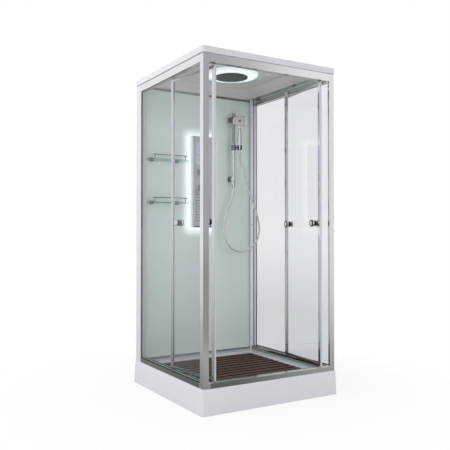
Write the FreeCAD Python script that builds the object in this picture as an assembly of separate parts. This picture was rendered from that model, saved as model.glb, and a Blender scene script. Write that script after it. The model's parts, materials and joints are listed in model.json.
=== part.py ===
import FreeCAD, Part
import math
import os
from FreeCAD import Vector

# Shower enclosure, 1000 x 1000 x 2150 mm, in millimetres.
# Origin at the centre of the tray's underside, +Z up, the open front faces -Y.
# The door leaves stand open, each beside its side pane, as the rest pose.

# Overall plan and heights
plan_side = 1000.0
total_height = 2150.0
tray_height = 150.0
roof_height = 67.0
roof_rim_height = 37.0
ceiling_drop = 22.0
frame_inset = 13.0
roof_inset = 5.0

# Shared clearances and overruns
flat_gap = 0.3
curve_gap = 0.3
running_gap = 0.06
overrun = 20.0
fit_share = 0.9

# Tray
tray_batter = 5.0
tray_wall = 5.0
tray_corner_r = 14.0
tray_edge = 4.0
basin_side_margin = 107.0
basin_end_margin = 146.0
basin_floor_z = 95.0
basin_taper = 12.0
basin_corner_r = 14.0
notch_width = 120.0
notch_height = 70.0

# Floor slats and battens
slat_count = 11
slat_gap = 13.5
slat_side_gap = 11.5
slat_end_gap = 11.0
slat_thickness = 18.0
slat_sink = 10.0
slat_chamfer = 1.5
batten_width = 30.0
batten_inner_x = 120.0
batten_end = 52.0

# Floor bars and levelling feet under the basin
bar_side = 25.0
bar_wall = 2.0
bar_margin = 50.0
bar_waste_gap = 65.0
foot_reach = 300.0
foot_pad_r = 25.0
foot_pad_height = 8.0
foot_stud_r = 6.0
foot_nut_r = 10.0
foot_nut_height = 10.0

# Sides of the flat-sided rounds
nut_side_count = 6
bar_side_count = 8
pad_side_count = 12
knob_side_count = 16
disc_side_count = 24
corner_side_count = 3

# Waste
waste_margin = 215.0
waste_hole_r = 30.0
waste_wall = 2.5
waste_flange_r = 42.0
waste_flange_thickness = 5.0
waste_cover_thickness = 4.0
waste_cover_slots = 6
waste_cover_slot_width = 5.0
waste_cover_slot_start = 10.0
waste_cover_slot_length = 22.0
trap_r = 36.0
trap_bottom_z = 22.0
spigot_r = 20.0
spigot_z = 46.0
spigot_end_margin = 110.0
spigot_length = 60.0
spigot_neck_r = 18.8

# Posts
front_post_width = 38.0
front_post_depth = 14.0
post_wall = 2.0
back_post_width = 42.0
back_post_depth = 77.0
post_screw_inset = 31.0
post_screw_low = 88.0
post_screw_high = 97.0
screw_head_r = 4.0
screw_head_height = 2.0
screw_shank_r = 2.0
screw_length = 14.0

# Panes and back panel
pane_thickness = 5.0
pane_inset = 3.0
pane_grip = 8.0
panel_thickness = 6.0
panel_inset = 32.0
panel_channel_height = 15.0
panel_channel_wall = 2.0
bead_width = 3.0
bead_height = 4.0

# Rails
track_inset = 37.0
bottom_rail_width = 50.0
bottom_rail_height = 30.0
guide_slot_depth = 25.0
guide_pin_r = 5.0
rail_chamber_width = 13.0
rail_wall = 3.0
top_rail_width = 55.0
top_rail_height = 49.0
top_rail_wall = 2.0
track_thickness = 2.5
track_width = 36.5
pane_channel_height = 16.0
corner_slab_height = 23.0
corner_pin_r = 6.0
corner_pin_drop = 2.0

# Door leaves, laid out along the leaf from its rear pivot
leaf_meeting = 21.5
rest_angle = 7.1
stile_overhang = 17.0
stile_width = 25.0
stile_depth = 16.0
stile_groove = 5.0
stile_chamfer = 2.0
leaf_bar_height = 14.0
leaf_bar_depth = 10.0
leaf_bottom_gap = 4.0
leaf_top_gap = 10.0
seal_thickness = 2.0
seal_width = 9.0
guide_pin_reach = 20.0

# Door knobs
knob_inset = 46.0
knob_z = 1108.0
knob_outer_cap_r = 12.0
knob_outer_cap = 7.0
knob_foot_r = 11.5
knob_waist = 7.0
knob_stem_r = 6.0
knob_stem = 22.0
knob_disc_r = 19.5
knob_disc = 13.0
knob_edge = 2.5
knob_hole_r = 5.0
knob_bolt_r = 4.6

# Door carriages
wheel_r = 8.0
wheel_width = 8.0
wheel_spacing = 24.0
wheel_offset = 5.0
wheel_side_gap = 1.0
axle_r = 2.5
axle_head = 1.2
plate_thickness = 3.0
plate_width = 38.0
plate_top_drop = 27.0
foot_plate_width = 26.0
foot_plate_gap = 3.0
pivot_pin_r = 3.0
pivot_pin_reach = 16.0

# Roof shell
roof_sheet = 4.0
roof_corner_r = 22.0
dome_foot_margin = 63.0
dome_slope_run = 87.0
dome_corner_r = 70.0
roof_lip_return = 12.0
roof_well_step = 5.5

# Lit disc, rain head and speaker
light_share = 0.536
light_thickness = 16.0
light_edge = 6.0
rain_share = 0.62
rain_thickness = 8.0
rain_edge = 2.5
rain_drop = 4.0
rain_neck_r = 12.0
neck_gap = 1.0
neck_block_side = 28.0
speaker_side_share = 0.71
speaker_front_share = 0.41
speaker_r = 45.0
speaker_grille = 4.0
speaker_body_r = 36.0
speaker_body_height = 16.0
speaker_slot_width = 3.0
speaker_slot_count = 5

# Control column
column_width = 165.0
column_drop = 998.0
column_height = 672.0
column_depth = 48.0
column_wall = 3.0
column_edge = 6.0
glow_depth = 8.0
glow_inset = 6.0
glow_width = 8.0
window_width = 80.0
window_height = 160.0
window_drop = 130.0
window_thickness = 3.0
window_lip = 3.0
window_edge = 0.75
window_recess = 2.0
jet_inner_x = 31.0
jet_outer_x = 53.0
jet_rows = 9
jet_pitch = 21.0
jet_rise = 52.0
jet_width = 13.0
jet_height = 4.5
jet_stand = 1.5
spout_width = 130.0
spout_depth = 22.0
spout_thickness = 9.0
spout_rise = 15.0
spout_lip = 2.0

# Mixer, knobs of the column and supply pipes
mixer_x = -20.0
mixer_inset = 25.0
mixer_r = 15.0
mixer_below = 82.0
mixer_height = 230.0
inlet_spacing = 100.0
inlet_r = 10.48
inlet_length = 28.0
inlet_reach = 41.0
inlet_thread = 32.0
inlet_neck_r = 9.0
inlet_hole_gap = 2.0
temperature_drop = 268.0
column_knob_spacing = 107.0
cartridge_r = 13.0
spindle_r = 4.0
knob_face_gap = 1.5
column_knob_base_r = 22.0
column_knob_base = 6.0
column_knob_body_r = 17.0
column_knob_body = 20.0
column_knob_edge = 2.5
lobe_r = 6.0
lobe_root_r = 4.2
lobe_reach = 24.0
lobe_count = 4
ring_offset = 44.0
ring_angle = 240.0
ring_r = 19.5
ring_bar_r = 2.8
ring_arm_r = 3.5
pipe_r = 6.0
pipe_bend_r = 18.0
pipe_set_back = 15.0
pipe_turn_rise = 60.0
pipe_over_drop = 9.0
pipe_run_in = 56.0
feed_x = 60.0
pipe_hole_gap = 1.0
pipe_bend_room = 5.0

# Riser bar and its brackets
riser_post_gap = 182.0
riser_inset = 60.0
riser_r = 9.5
riser_over = 49.0
riser_cap_edge = 2.0
bracket_drop = 175.0
bracket_width = 30.0
bracket_height = 38.0
bracket_chamfer = 4.0
outlet_drop = 32.0
outlet_r = 12.0
outlet_above = 25.0
outlet_below = 51.0
nipple_r = 7.0
nipple_reach = 25.0
nipple_block = 16.0
nut_r = 10.0
nut_height = 16.0

# Slider, cradle and hand shower
slider_rise = 236.0
slider_r = 18.0
slider_height = 38.0
arm_reach = 46.0
arm_angle = -29.9
arm_r = 8.0
arm_gap = 0.4
arm_pin_r = 3.0
arm_pin_reach = 4.0
cradle_r = 19.0
cradle_foot_r = 17.5
cone_overrun = 7.6
cradle_height = 36.0
cradle_slot = 17.0
handle_foot_r = 11.5
handle_mid_r = 13.5
handle_neck_r = 9.5
handle_mid_height = 60.0
handle_length = 150.0
nut_cone_r = 9.0
nut_cone_foot_r = 8.1
nut_cone_length = 14.0
head_r = 52.5
head_thickness = 20.0
head_height = 198.0
head_lean = 33.0
neck_lean_shares = (0.0, 0.16, 0.5)
neck_height_shares = (0.0, 0.45, 1.0)
head_tilt = 12.0
head_edge = 4.0
head_back_r = 29.0
stem_end = 31.5
face_r = 44.0
face_thickness = 3.0

# Hose
hose_r = 7.0
# Offsets of the hose's corners from its outlet
hose_route = (
    (0.0, 0.0, 0.0),
    (0.0, 0.0, -52.0),
    (-27.0, -5.0, -114.0),
    (-55.0, -9.0, -174.0),
    (-80.0, -14.0, -238.0),
    (-95.0, -19.0, -304.0),
    (-95.0, -24.0, -368.0),
    (-75.0, -30.0, -426.0),
    (-31.0, -38.0, -468.0),
    (29.0, -47.0, -488.0),
    (91.0, -57.0, -475.0),
    (143.0, -66.0, -437.0),
    (174.0, -74.0, -380.0),
    (182.0, -80.0, -316.0),
    (169.0, -83.0, -246.0),
    (146.0, -82.0, -176.0),
    (121.0, -78.0, -108.0),
    (97.0, -72.0, -40.0),
    (76.0, -65.0, 28.0),
    (60.0, -57.0, 94.0),
    (48.0, -45.0, 158.0),
    (40.0, -23.0, 216.0),
    (40.0, -23.0, 271.0),
)
hose_bend_share = 0.45

# Shelves
shelf_post_gap = 5.0
shelf_column_gap = 29.5
shelf_depth = 80.0
shelf_thickness = 8.0
shelf_corner_r = 22.0
shelf_rises = (173.0, 477.0)
shelf_rail_rise = 30.0
shelf_rail_r = 4.0
shelf_rail_inset = 10.0
shelf_left_inset = 50.0
shelf_right_inset = 39.0
shelf_bracket_inset = 81.0
shelf_bracket_width = 22.0
shelf_bracket_height = 26.0
shelf_bracket_reach = 26.0
shelf_plate = 4.0

# Worked out from the sizes above
plan_half = plan_side / 2
frame_half = plan_half - frame_inset
roof_half = plan_half - roof_inset
roof_seat_z = total_height - roof_height
ceiling_z = total_height - ceiling_drop
roof_rim_z = roof_seat_z + roof_rim_height
track = frame_half - track_inset
front_post_end = frame_half - front_post_width
front_post_face = frame_half - front_post_depth
corner_end = frame_half - bottom_rail_width
back_post_front = frame_half - back_post_depth
back_post_inner = frame_half - back_post_width
pane_outer = frame_half - pane_inset
pane_inner = pane_outer - pane_thickness
top_rail_z = roof_seat_z - top_rail_height
bottom_rail_top = tray_height + bottom_rail_height
track_top_z = top_rail_z + track_thickness
wheel_z = track_top_z + wheel_r + curve_gap
plate_top_z = roof_seat_z - plate_top_drop
roof_top_z = ceiling_z + roof_sheet
dome_foot_half = roof_half - dome_foot_margin
dome_flat_half = dome_foot_half - dome_slope_run
light_r = dome_flat_half * light_share
rain_r = light_r * rain_share
head_z = ceiling_z - light_thickness - rain_drop

basin_half_x = plan_half - basin_side_margin
basin_half_y = plan_half - basin_end_margin
slat_span = 2 * (basin_half_y - slat_side_gap)
slat_width = (slat_span - (slat_count - 1) * slat_gap) / slat_count
slat_pitch = slat_width + slat_gap
slat_half = basin_half_x - slat_end_gap
slat_top_z = tray_height - slat_sink
batten_top_z = slat_top_z - slat_thickness
waste_y = plan_half - waste_margin
spigot_end_y = plan_half - spigot_end_margin
bar_spacing = waste_y - bar_waste_gap

pivot_span = track - leaf_meeting
leaf_bottom_z = bottom_rail_top + leaf_bottom_gap
leaf_top_z = top_rail_z - leaf_top_gap
leaf_glass_bottom = leaf_bottom_z + leaf_bar_height / 2
leaf_glass_top = leaf_top_z - leaf_bar_height / 2
rear_pivot_y = -track + pivot_span * math.cos(math.radians(rest_angle))
front_pivot_x = -track + pivot_span * math.sin(math.radians(rest_angle))

panel_face_y = frame_half - panel_inset
panel_back_y = panel_face_y + panel_thickness
post_screw_y = panel_face_y - post_screw_inset
post_screw_heights = [tray_height + post_screw_low, roof_seat_z - post_screw_high]
post_screw_heights.insert(1, sum(post_screw_heights) / 2)
column_bottom_z = roof_seat_z - column_drop
column_top_z = column_bottom_z + column_height
column_back_y = panel_face_y - glow_depth
column_face_y = column_back_y - column_depth
column_half = column_width / 2
window_centre_z = column_top_z - window_drop
mixer_y = panel_face_y - mixer_inset
temperature_z = column_top_z - temperature_drop
diverter_z = temperature_z - column_knob_spacing
mixer_bottom_z = diverter_z - mixer_below
mixer_top_z = mixer_bottom_z + mixer_height
inlet_end_y = panel_face_y + inlet_reach
pipe_y = panel_face_y + pipe_set_back
pipe_turn_z = mixer_top_z + pipe_turn_rise
pipe_over_z = total_height - pipe_over_drop

riser_x = back_post_inner - riser_post_gap
riser_y = panel_face_y - riser_inset
bracket_z = roof_seat_z - bracket_drop
riser_top_z = bracket_z + riser_over
outlet_z = temperature_z - outlet_drop
outlet_top_z = outlet_z + outlet_above
outlet_bottom_z = outlet_z - outlet_below
slider_z = outlet_z + slider_rise
arm_direction = Vector(math.cos(math.radians(arm_angle)), math.sin(math.radians(arm_angle)), 0)
spray_direction = Vector(arm_direction.y, -arm_direction.x, 0)
cradle_centre = Vector(riser_x, riser_y, slider_z) + arm_direction * arm_reach

shelf_left_x = shelf_post_gap - back_post_inner
shelf_right_x = -column_half - shelf_column_gap
shelf_front_y = panel_face_y - shelf_depth
shelf_heights = [column_bottom_z + rise for rise in shelf_rises]
shelf_post_xs = (shelf_left_x + shelf_left_inset, shelf_right_x - shelf_right_inset)
shelf_bracket_xs = (shelf_left_x + shelf_left_inset, shelf_right_x - shelf_bracket_inset)
up = Vector(0, 0, 1)


# Small helpers for solids and profiles
def box(x0, x1, y0, y1, z0, z1):
    return Part.makeBox(x1 - x0, y1 - y0, z1 - z0, Vector(x0, y0, z0))


def rod(start, end, radius):
    way = end - start
    return Part.makeCylinder(radius, way.Length, start, way)


def upright(x, y, z0, z1, radius):
    return rod(Vector(x, y, z0), Vector(x, y, z1), radius)


def side_of(along):
    # A level direction square to another one
    if abs(along.z) > fit_share:
        return Vector(1, 0, 0)
    return along.cross(up).normalize()


def flat_section(centre, way, radius, side_count):
    along = Vector(way).normalize()
    side = side_of(along)
    other = along.cross(side)
    points = []
    for i in range(side_count):
        angle = 2 * math.pi * (i + 1 / 2) / side_count
        points.append(centre + side * (radius * math.cos(angle)) + other * (radius * math.sin(angle)))
    return points


def closed(points):
    return Part.makePolygon(list(points) + [points[0]])


def face_of(points):
    return Part.Face(closed(points))


def flat_bar(start, end, radius, side_count):
    # A bar with flat sides between two points, its corners on the radius
    return face_of(flat_section(start, end - start, radius, side_count)).extrude(end - start)


def ringed(rings):
    # A solid with flat faces through rings of points that lie in step
    faces = [face_of(rings[0]), face_of(rings[-1])]
    for low, high in zip(rings, rings[1:]):
        for i in range(len(low)):
            faces.append(face_of([low[i - 1], low[i], high[i], high[i - 1]]))
    solid = Part.Solid(Part.makeShell(faces))
    if solid.Volume < 0:
        solid.reverse()
    return solid


def flat_turned(profile, base, axis, side_count):
    # A flat-sided round body from (radius, height) pairs along an axis
    way = Vector(axis).normalize()
    return ringed([flat_section(base + way * h, way, r, side_count) for r, h in profile])


def soft_square(half_x, half_y, radius, z):
    # The points of a rectangle whose corners turn in a few flats
    points = []
    for quarter, (sx, sy) in enumerate(((1, 1), (-1, 1), (-1, -1), (1, -1))):
        centre = Vector(sx * (half_x - radius), sy * (half_y - radius), z)
        for i in range(corner_side_count + 1):
            angle = math.pi / 2 * (quarter + i / corner_side_count)
            points.append(centre + Vector(radius * math.cos(angle), radius * math.sin(angle), 0))
    return points


def bent_tube(points, radius, bend_radii, side_count):
    # Straight runs joined by tangent arcs, swept with a flat-sided section of the circle's area
    edges = []
    start = points[0]
    for i in range(1, len(points) - 1):
        into = (points[i] - points[i - 1]).normalize()
        out = (points[i + 1] - points[i]).normalize()
        turn = into.getAngle(out)
        reach = bend_radii[i - 1] * math.tan(turn / 2)
        a = points[i] - into * reach
        b = points[i] + out * reach
        centre_way = (out - into).normalize()
        centre = points[i] + centre_way * (bend_radii[i - 1] / math.cos(turn / 2))
        middle = centre - centre_way * bend_radii[i - 1]
        edges.append(Part.LineSegment(start, a).toShape())
        edges.append(Part.Arc(a, middle, b).toShape())
        start = b
    edges.append(Part.LineSegment(start, points[-1]).toShape())
    path = Part.Wire(edges)
    corner_r = radius * math.sqrt(2 * math.pi / (side_count * math.sin(2 * math.pi / side_count)))
    section = closed(flat_section(points[0], points[1] - points[0], corner_r, side_count))
    return path.makePipeShell([section], True, False), path.Length


def mirrored(shape):
    return shape.mirror(Vector(0, 0, 0), Vector(1, 0, 0))


def save(name, *solids):
    parts = []
    for shape in solids:
        parts.extend(shape.Solids)
    shape = parts[0] if len(parts) == 1 else Part.makeCompound(parts)
    shape.exportStep(os.path.join("parts", name + ".step"))
    print(name, len(parts), "solids", round(sum(p.Volume for p in parts)), "mm3", shape.isValid())


# Tray, slats and what lies under the basin
def tray():
    foot = plan_half
    top = foot - tray_batter
    shoulder = tray_height - tray_edge
    rim = top - tray_edge / 2
    outer = ringed([
        soft_square(foot, foot, tray_corner_r, 0),
        soft_square(top, top, tray_corner_r, shoulder),
        soft_square(rim, rim, tray_corner_r, tray_height),
    ])
    ceiling = tray_height - tray_wall
    hollow = ringed(
        [soft_square(h - tray_wall, h - tray_wall, tray_corner_r, z) for h, z in ((foot, 0), (top, ceiling))]
    )
    bowl = basin(0, basin_floor_z, tray_height)
    shell = basin(tray_wall, basin_floor_z - tray_wall, ceiling)
    body = outer.cut(hollow).fuse(shell).cut(bowl)
    drain = flat_bar(Vector(0, waste_y, 0), Vector(0, waste_y, tray_height), waste_hole_r, knob_side_count)
    body = body.cut(drain)
    notch = box(-notch_width / 2, notch_width / 2, foot - 2 * overrun, foot + overrun, -overrun, notch_height)
    save("tray", body.cut(notch).removeSplitter())


def basin(grow, z0, z1):
    lean = basin_taper / (tray_height - basin_floor_z)
    low = basin_taper + (basin_floor_z - z0) * lean
    high = (tray_height - z1) * lean
    radius = basin_corner_r + grow
    return ringed([
        soft_square(basin_half_x + grow - low, basin_half_y + grow - low, radius, z0),
        soft_square(basin_half_x + grow - high, basin_half_y + grow - high, radius, z1),
    ])


def floor_slats():
    solids = []
    for i in range(slat_count):
        y = (i - (slat_count - 1) / 2) * slat_pitch
        slat = box(-slat_half, slat_half, y - slat_width / 2, y + slat_width / 2, batten_top_z, slat_top_z)
        edges = [e for e in slat.Edges if e.BoundBox.ZMin > batten_top_z and e.BoundBox.XLength > slat_width]
        solids.append(slat.makeChamfer(slat_chamfer, edges))
    reach = (slat_count - 1) / 2 * slat_pitch
    outer_x = slat_half - batten_end
    for x in (-outer_x, -batten_inner_x, batten_inner_x, outer_x):
        solids.append(
            box(x - batten_width / 2, x + batten_width / 2, -reach, reach, basin_floor_z, batten_top_z)
        )
    save("floor_slats", *solids)


def floor_bars():
    top = basin_floor_z - tray_wall
    half = plan_half - bar_margin
    solids = []
    for y in (-bar_spacing, 0, bar_spacing):
        outer = box(-half, half, y - bar_side / 2, y + bar_side / 2, top - bar_side, top)
        inner = box(
            -half - overrun, half + overrun,
            y - bar_side / 2 + bar_wall, y + bar_side / 2 - bar_wall,
            top - bar_side + bar_wall, top - bar_wall,
        )
        solids.append(outer.cut(inner))
    save("floor_bars", *solids)


def levelling_feet():
    bar_bottom = basin_floor_z - tray_wall - bar_side
    places = [(0, 0)]
    for x in (-foot_reach, foot_reach):
        for y in (-bar_spacing, bar_spacing):
            places.append((x, y))
    solids = []
    for x, y in places:
        pad = flat_bar(Vector(x, y, 0), Vector(x, y, foot_pad_height), foot_pad_r, bar_side_count)
        stud = flat_bar(Vector(x, y, 0), Vector(x, y, bar_bottom), foot_stud_r, bar_side_count)
        nut = flat_bar(
            Vector(x, y, bar_bottom - foot_nut_height), Vector(x, y, bar_bottom), foot_nut_r, nut_side_count
        )
        solids.append(pad.fuse([stud, nut]))
    save("levelling_feet", *solids)


def waste():
    cover_z = basin_floor_z + waste_cover_thickness
    centre = Vector(0, waste_y, 0)
    cover = flat_bar(centre + up * basin_floor_z, centre + up * cover_z, waste_flange_r, knob_side_count)
    for i in range(waste_cover_slots):
        slot = box(
            waste_cover_slot_start, waste_cover_slot_start + waste_cover_slot_length,
            -waste_cover_slot_width / 2, waste_cover_slot_width / 2,
            basin_floor_z - overrun, cover_z + overrun,
        )
        slot.rotate(Vector(0, 0, 0), up, 360 / waste_cover_slots * i)
        slot.translate(Vector(0, waste_y, 0))
        cover = cover.cut(slot)
    save("waste_cover", cover)
    under = basin_floor_z - tray_wall
    flange_z = under - waste_flange_thickness
    flange = flat_bar(centre + up * flange_z, centre + up * under, waste_flange_r, knob_side_count)
    throat = flat_bar(
        centre + up * under, centre + up * basin_floor_z, waste_hole_r - flat_gap, knob_side_count
    )
    cup = flat_bar(centre + up * trap_bottom_z, centre + up * under, trap_r, pad_side_count)
    spigot_start = Vector(0, spigot_end_y - spigot_length, spigot_z)
    spigot = rod(spigot_start, Vector(0, spigot_end_y, spigot_z), spigot_r)
    neck = flat_bar(Vector(0, waste_y, spigot_z), spigot_start, spigot_neck_r, pad_side_count)
    body = flange.fuse([throat, cup, neck, spigot])
    bore_start = centre + up * (trap_bottom_z + waste_wall)
    bore = flat_bar(bore_start, centre + up * cover_z, waste_hole_r - waste_wall, knob_side_count)
    tail = rod(
        Vector(0, waste_y, spigot_z), Vector(0, spigot_end_y + overrun, spigot_z), spigot_r - waste_wall
    )
    save("waste_trap", body.cut(bore.fuse(tail)))


# Posts, rails, corner blocks and panes
def front_post_section(z0, z1):
    outer = box(-frame_half, -front_post_end, -frame_half, -front_post_end, z0, z1)
    return outer.cut(box(-front_post_face, overrun, -front_post_face, overrun, z0, z1))


def front_post():
    body = front_post_section(tray_height, roof_seat_z)
    inner = box(
        -frame_half + post_wall, -front_post_end - post_wall,
        -frame_half + post_wall, -front_post_end - post_wall,
        tray_height, roof_seat_z,
    )
    lug = front_post_face - post_wall
    inner = inner.cut(
        box(-lug - 2 * post_wall, overrun, -lug - 2 * post_wall, overrun, tray_height, roof_seat_z)
    )
    grip_start = -front_post_end - pane_grip - post_wall
    groove = box(
        -pane_outer - flat_gap, -pane_inner + flat_gap, grip_start + post_wall, overrun - front_post_end,
        tray_height, roof_seat_z,
    )
    return body.cut(inner).cut(groove)


def front_posts():
    left = front_post()
    save("front_posts", left, mirrored(left))


def back_posts():
    body = box(-frame_half, -back_post_inner, back_post_front, frame_half, tray_height, roof_seat_z)
    wall = post_wall
    inner = box(
        -frame_half + wall, -back_post_inner - wall, back_post_front + pane_grip + wall, frame_half - wall,
        tray_height, roof_seat_z,
    )
    groove = box(
        -pane_outer - flat_gap, -pane_inner + flat_gap,
        back_post_front - overrun, back_post_front + pane_grip + flat_gap,
        tray_height, roof_seat_z,
    )
    body = body.cut(inner).cut(groove)
    for z in post_screw_heights:
        start = Vector(-frame_half + 2 * wall, post_screw_y, z)
        hole = flat_bar(start, Vector(0, post_screw_y, z), screw_shank_r, nut_side_count)
        body = body.cut(hole)
    save("back_posts", body, mirrored(body))


def post_screws():
    solids = []
    for z in post_screw_heights:
        seat = Vector(-back_post_inner, post_screw_y, z)
        head = flat_bar(seat, seat + Vector(screw_head_height, 0, 0), screw_head_r, bar_side_count)
        screw = head.fuse(flat_bar(seat, seat - Vector(screw_length, 0, 0), screw_shank_r, nut_side_count))
        solids.append(screw)
        solids.append(mirrored(screw))
    save("post_screws", *solids)


def along_front(section_points, half_length):
    # A section in (inset from the frame face, height) run along the front
    points = [Vector(-half_length, -frame_half + s, z) for s, z in section_points]
    return face_of(points).extrude(Vector(2 * half_length, 0, 0))


def along_left(section_points, y0, y1):
    points = [Vector(-frame_half + s, y0, z) for s, z in section_points]
    return face_of(points).extrude(Vector(0, y1 - y0, 0))


def bottom_rail_section(with_pane):
    low = tray_height
    top = bottom_rail_top
    pane0 = pane_inset - flat_gap
    pane1 = pane_inset + pane_thickness + flat_gap
    slot = guide_pin_r + curve_gap
    points = [(0, low), (bottom_rail_width, low), (bottom_rail_width, top), (track_inset + slot, top)]
    points += [(track_inset + slot, top - guide_slot_depth), (track_inset - slot, top - guide_slot_depth)]
    points += [(track_inset - slot, top)]
    if with_pane:
        points += [(pane1, top), (pane1, top - pane_grip), (pane0, top - pane_grip), (pane0, top)]
    return points + [(0, top)]


def bottom_rail_chamber():
    right = track_inset - guide_pin_r - curve_gap - rail_wall
    return [
        (right - rail_chamber_width, tray_height + rail_wall), (right, tray_height + rail_wall),
        (right, bottom_rail_top - rail_wall), (right - rail_chamber_width, bottom_rail_top - rail_wall),
    ]


def back_channel(z_outer, z_lip):
    # The U channel that holds the back panel's lower or upper edge
    low, high = min(z_outer, z_lip), max(z_outer, z_lip)
    wall = panel_channel_wall
    outer = box(-back_post_inner, back_post_inner, panel_face_y - wall, panel_back_y + wall, low, high)
    floor_z = z_outer + math.copysign(wall, z_lip - z_outer)
    z0, z1 = min(floor_z, z_lip), max(floor_z, z_lip)
    return outer.cut(box(-plan_side, plan_side, panel_face_y, panel_back_y, z0, z1))


def bottom_rails():
    front = along_front(bottom_rail_section(False), corner_end)
    front = front.cut(along_front(bottom_rail_chamber(), corner_end + overrun))
    left = along_left(bottom_rail_section(True), -corner_end, back_post_front)
    left = left.cut(along_left(bottom_rail_chamber(), -corner_end - overrun, back_post_front + overrun))
    back = back_channel(tray_height, tray_height + panel_channel_height)
    save("bottom_rails", front, left, mirrored(left), back)


def top_rail_section(with_pane):
    low, high = top_rail_z, roof_seat_z
    wall = top_rail_wall
    pane0 = pane_inset - flat_gap
    pane1 = pane_inset + pane_thickness + flat_gap
    if with_pane:
        points = [
            (0, low), (pane0, low), (pane0, low + pane_channel_height), (pane1, low + pane_channel_height)
        ]
        points += [(pane1, low), (track_width, low), (track_width, track_top_z), (pane1 + wall, track_top_z)]
        points += [(pane1 + wall, low + pane_channel_height + wall), (wall, low + pane_channel_height + wall)]
    else:
        points = [(0, low), (track_width, low), (track_width, track_top_z), (wall, track_top_z)]
    points += [(wall, high - wall), (top_rail_width, high - wall), (top_rail_width, high), (0, high)]
    return points


def top_rails():
    front = along_front(top_rail_section(False), corner_end)
    left = along_left(top_rail_section(True), -corner_end, back_post_front)
    back = back_channel(roof_seat_z, roof_seat_z - panel_channel_height)
    save("top_rails", front, left, mirrored(left), back)


def corner_blocks():
    post = front_post_section(tray_height, roof_seat_z)
    low = box(-frame_half, -corner_end, -frame_half, -corner_end, tray_height, bottom_rail_top).cut(post)
    slot = guide_pin_r + curve_gap
    slot_z = bottom_rail_top - guide_slot_depth
    low = low.cut(box(-track - slot, -track + slot, -track, 0, slot_z, roof_seat_z))
    low = low.cut(box(-track, 0, -track - slot, -track + slot, slot_z, roof_seat_z))
    low = low.cut(box(-track - slot, -track + slot, -track - slot, -track + slot, slot_z, roof_seat_z))
    slab_z = roof_seat_z - corner_slab_height
    high = box(-frame_half, -corner_end, -frame_half, -corner_end, top_rail_z, roof_seat_z).cut(post)
    cavity = -front_post_face + top_rail_wall / 2
    high = high.cut(box(cavity, 0, cavity, 0, track_top_z, slab_z))
    plate_way = -frame_half + track_width
    high = high.cut(box(plate_way, 0, cavity, 0, top_rail_z - overrun, slab_z))
    high = high.cut(upright(-track, -track, slab_z - overrun, roof_seat_z, corner_pin_r + running_gap))
    groove = box(
        -pane_outer - flat_gap, -pane_inner + flat_gap, -front_post_end - pane_grip, 0,
        bottom_rail_top - pane_grip, top_rail_z + pane_channel_height,
    )
    low, high = low.cut(groove), high.cut(groove)
    save("corner_blocks", low, mirrored(low), high, mirrored(high))


def corner_pins():
    slab_z = roof_seat_z - corner_slab_height
    pin = upright(-track, -track, slab_z - corner_pin_drop, roof_seat_z - flat_gap, corner_pin_r)
    save("corner_pin_left", pin)
    save("corner_pin_right", mirrored(pin))


def side_panes():
    z0 = bottom_rail_top - pane_grip
    z1 = top_rail_z + pane_channel_height
    pane = box(-pane_outer, -pane_inner, -front_post_end - pane_grip, back_post_front + pane_grip, z0, z1)
    save("side_panes", pane, mirrored(pane))


def glazing_beads():
    x0 = -pane_inner
    x1 = x0 + bead_width
    y0 = back_post_front - bead_height
    low = box(x0, x1, -corner_end, y0, bottom_rail_top, bottom_rail_top + bead_height)
    side = box(x0, x1, y0, back_post_front, bottom_rail_top, top_rail_z)
    front = box(x0, x1, -front_post_end, -front_post_end + bead_height, bottom_rail_top, top_rail_z)
    bead = low.fuse(side)
    save("glazing_beads", bead, mirrored(bead), front, mirrored(front))


def back_panel():
    wall = panel_channel_wall
    z0, z1 = tray_height + wall, roof_seat_z - wall
    panel = box(-back_post_inner, back_post_inner, panel_face_y, panel_back_y, z0, z1)
    for x in (-inlet_spacing / 2, inlet_spacing / 2):
        panel = panel.cut(wall_hole(x, mixer_bottom_z, inlet_r + inlet_hole_gap))
    bend_hole_r = pipe_r + pipe_hole_gap + pipe_bend_room
    panel = panel.cut(wall_hole(mixer_x, pipe_turn_z, bend_hole_r))
    panel = panel.cut(wall_hole(feed_x, outlet_z, bend_hole_r))
    panel = panel.cut(wall_hole(riser_x, outlet_z, nipple_r + pipe_hole_gap))
    save("back_panel", panel)


def wall_hole(x, z, radius):
    return flat_bar(Vector(x, panel_face_y - overrun, z), Vector(x, frame_half, z), radius, pad_side_count)


# Door leaves, drawn with the leaf along +X from its rear pivot, the outside facing -Y
def stile(z0, z1):
    bar = box(-stile_overhang, stile_width - stile_overhang, -stile_depth / 2, stile_depth / 2, z0, z1)
    uprights = [e for e in bar.Edges if e.BoundBox.ZLength > z1 - z0 - flat_gap]
    bar = bar.makeChamfer(stile_chamfer, uprights)
    wide = pane_thickness / 2 + flat_gap
    start = stile_width - stile_overhang - stile_groove
    return bar.cut(box(start, pivot_span, -wide, wide, z0 + leaf_bar_height / 2, z1 - leaf_bar_height / 2))


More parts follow.
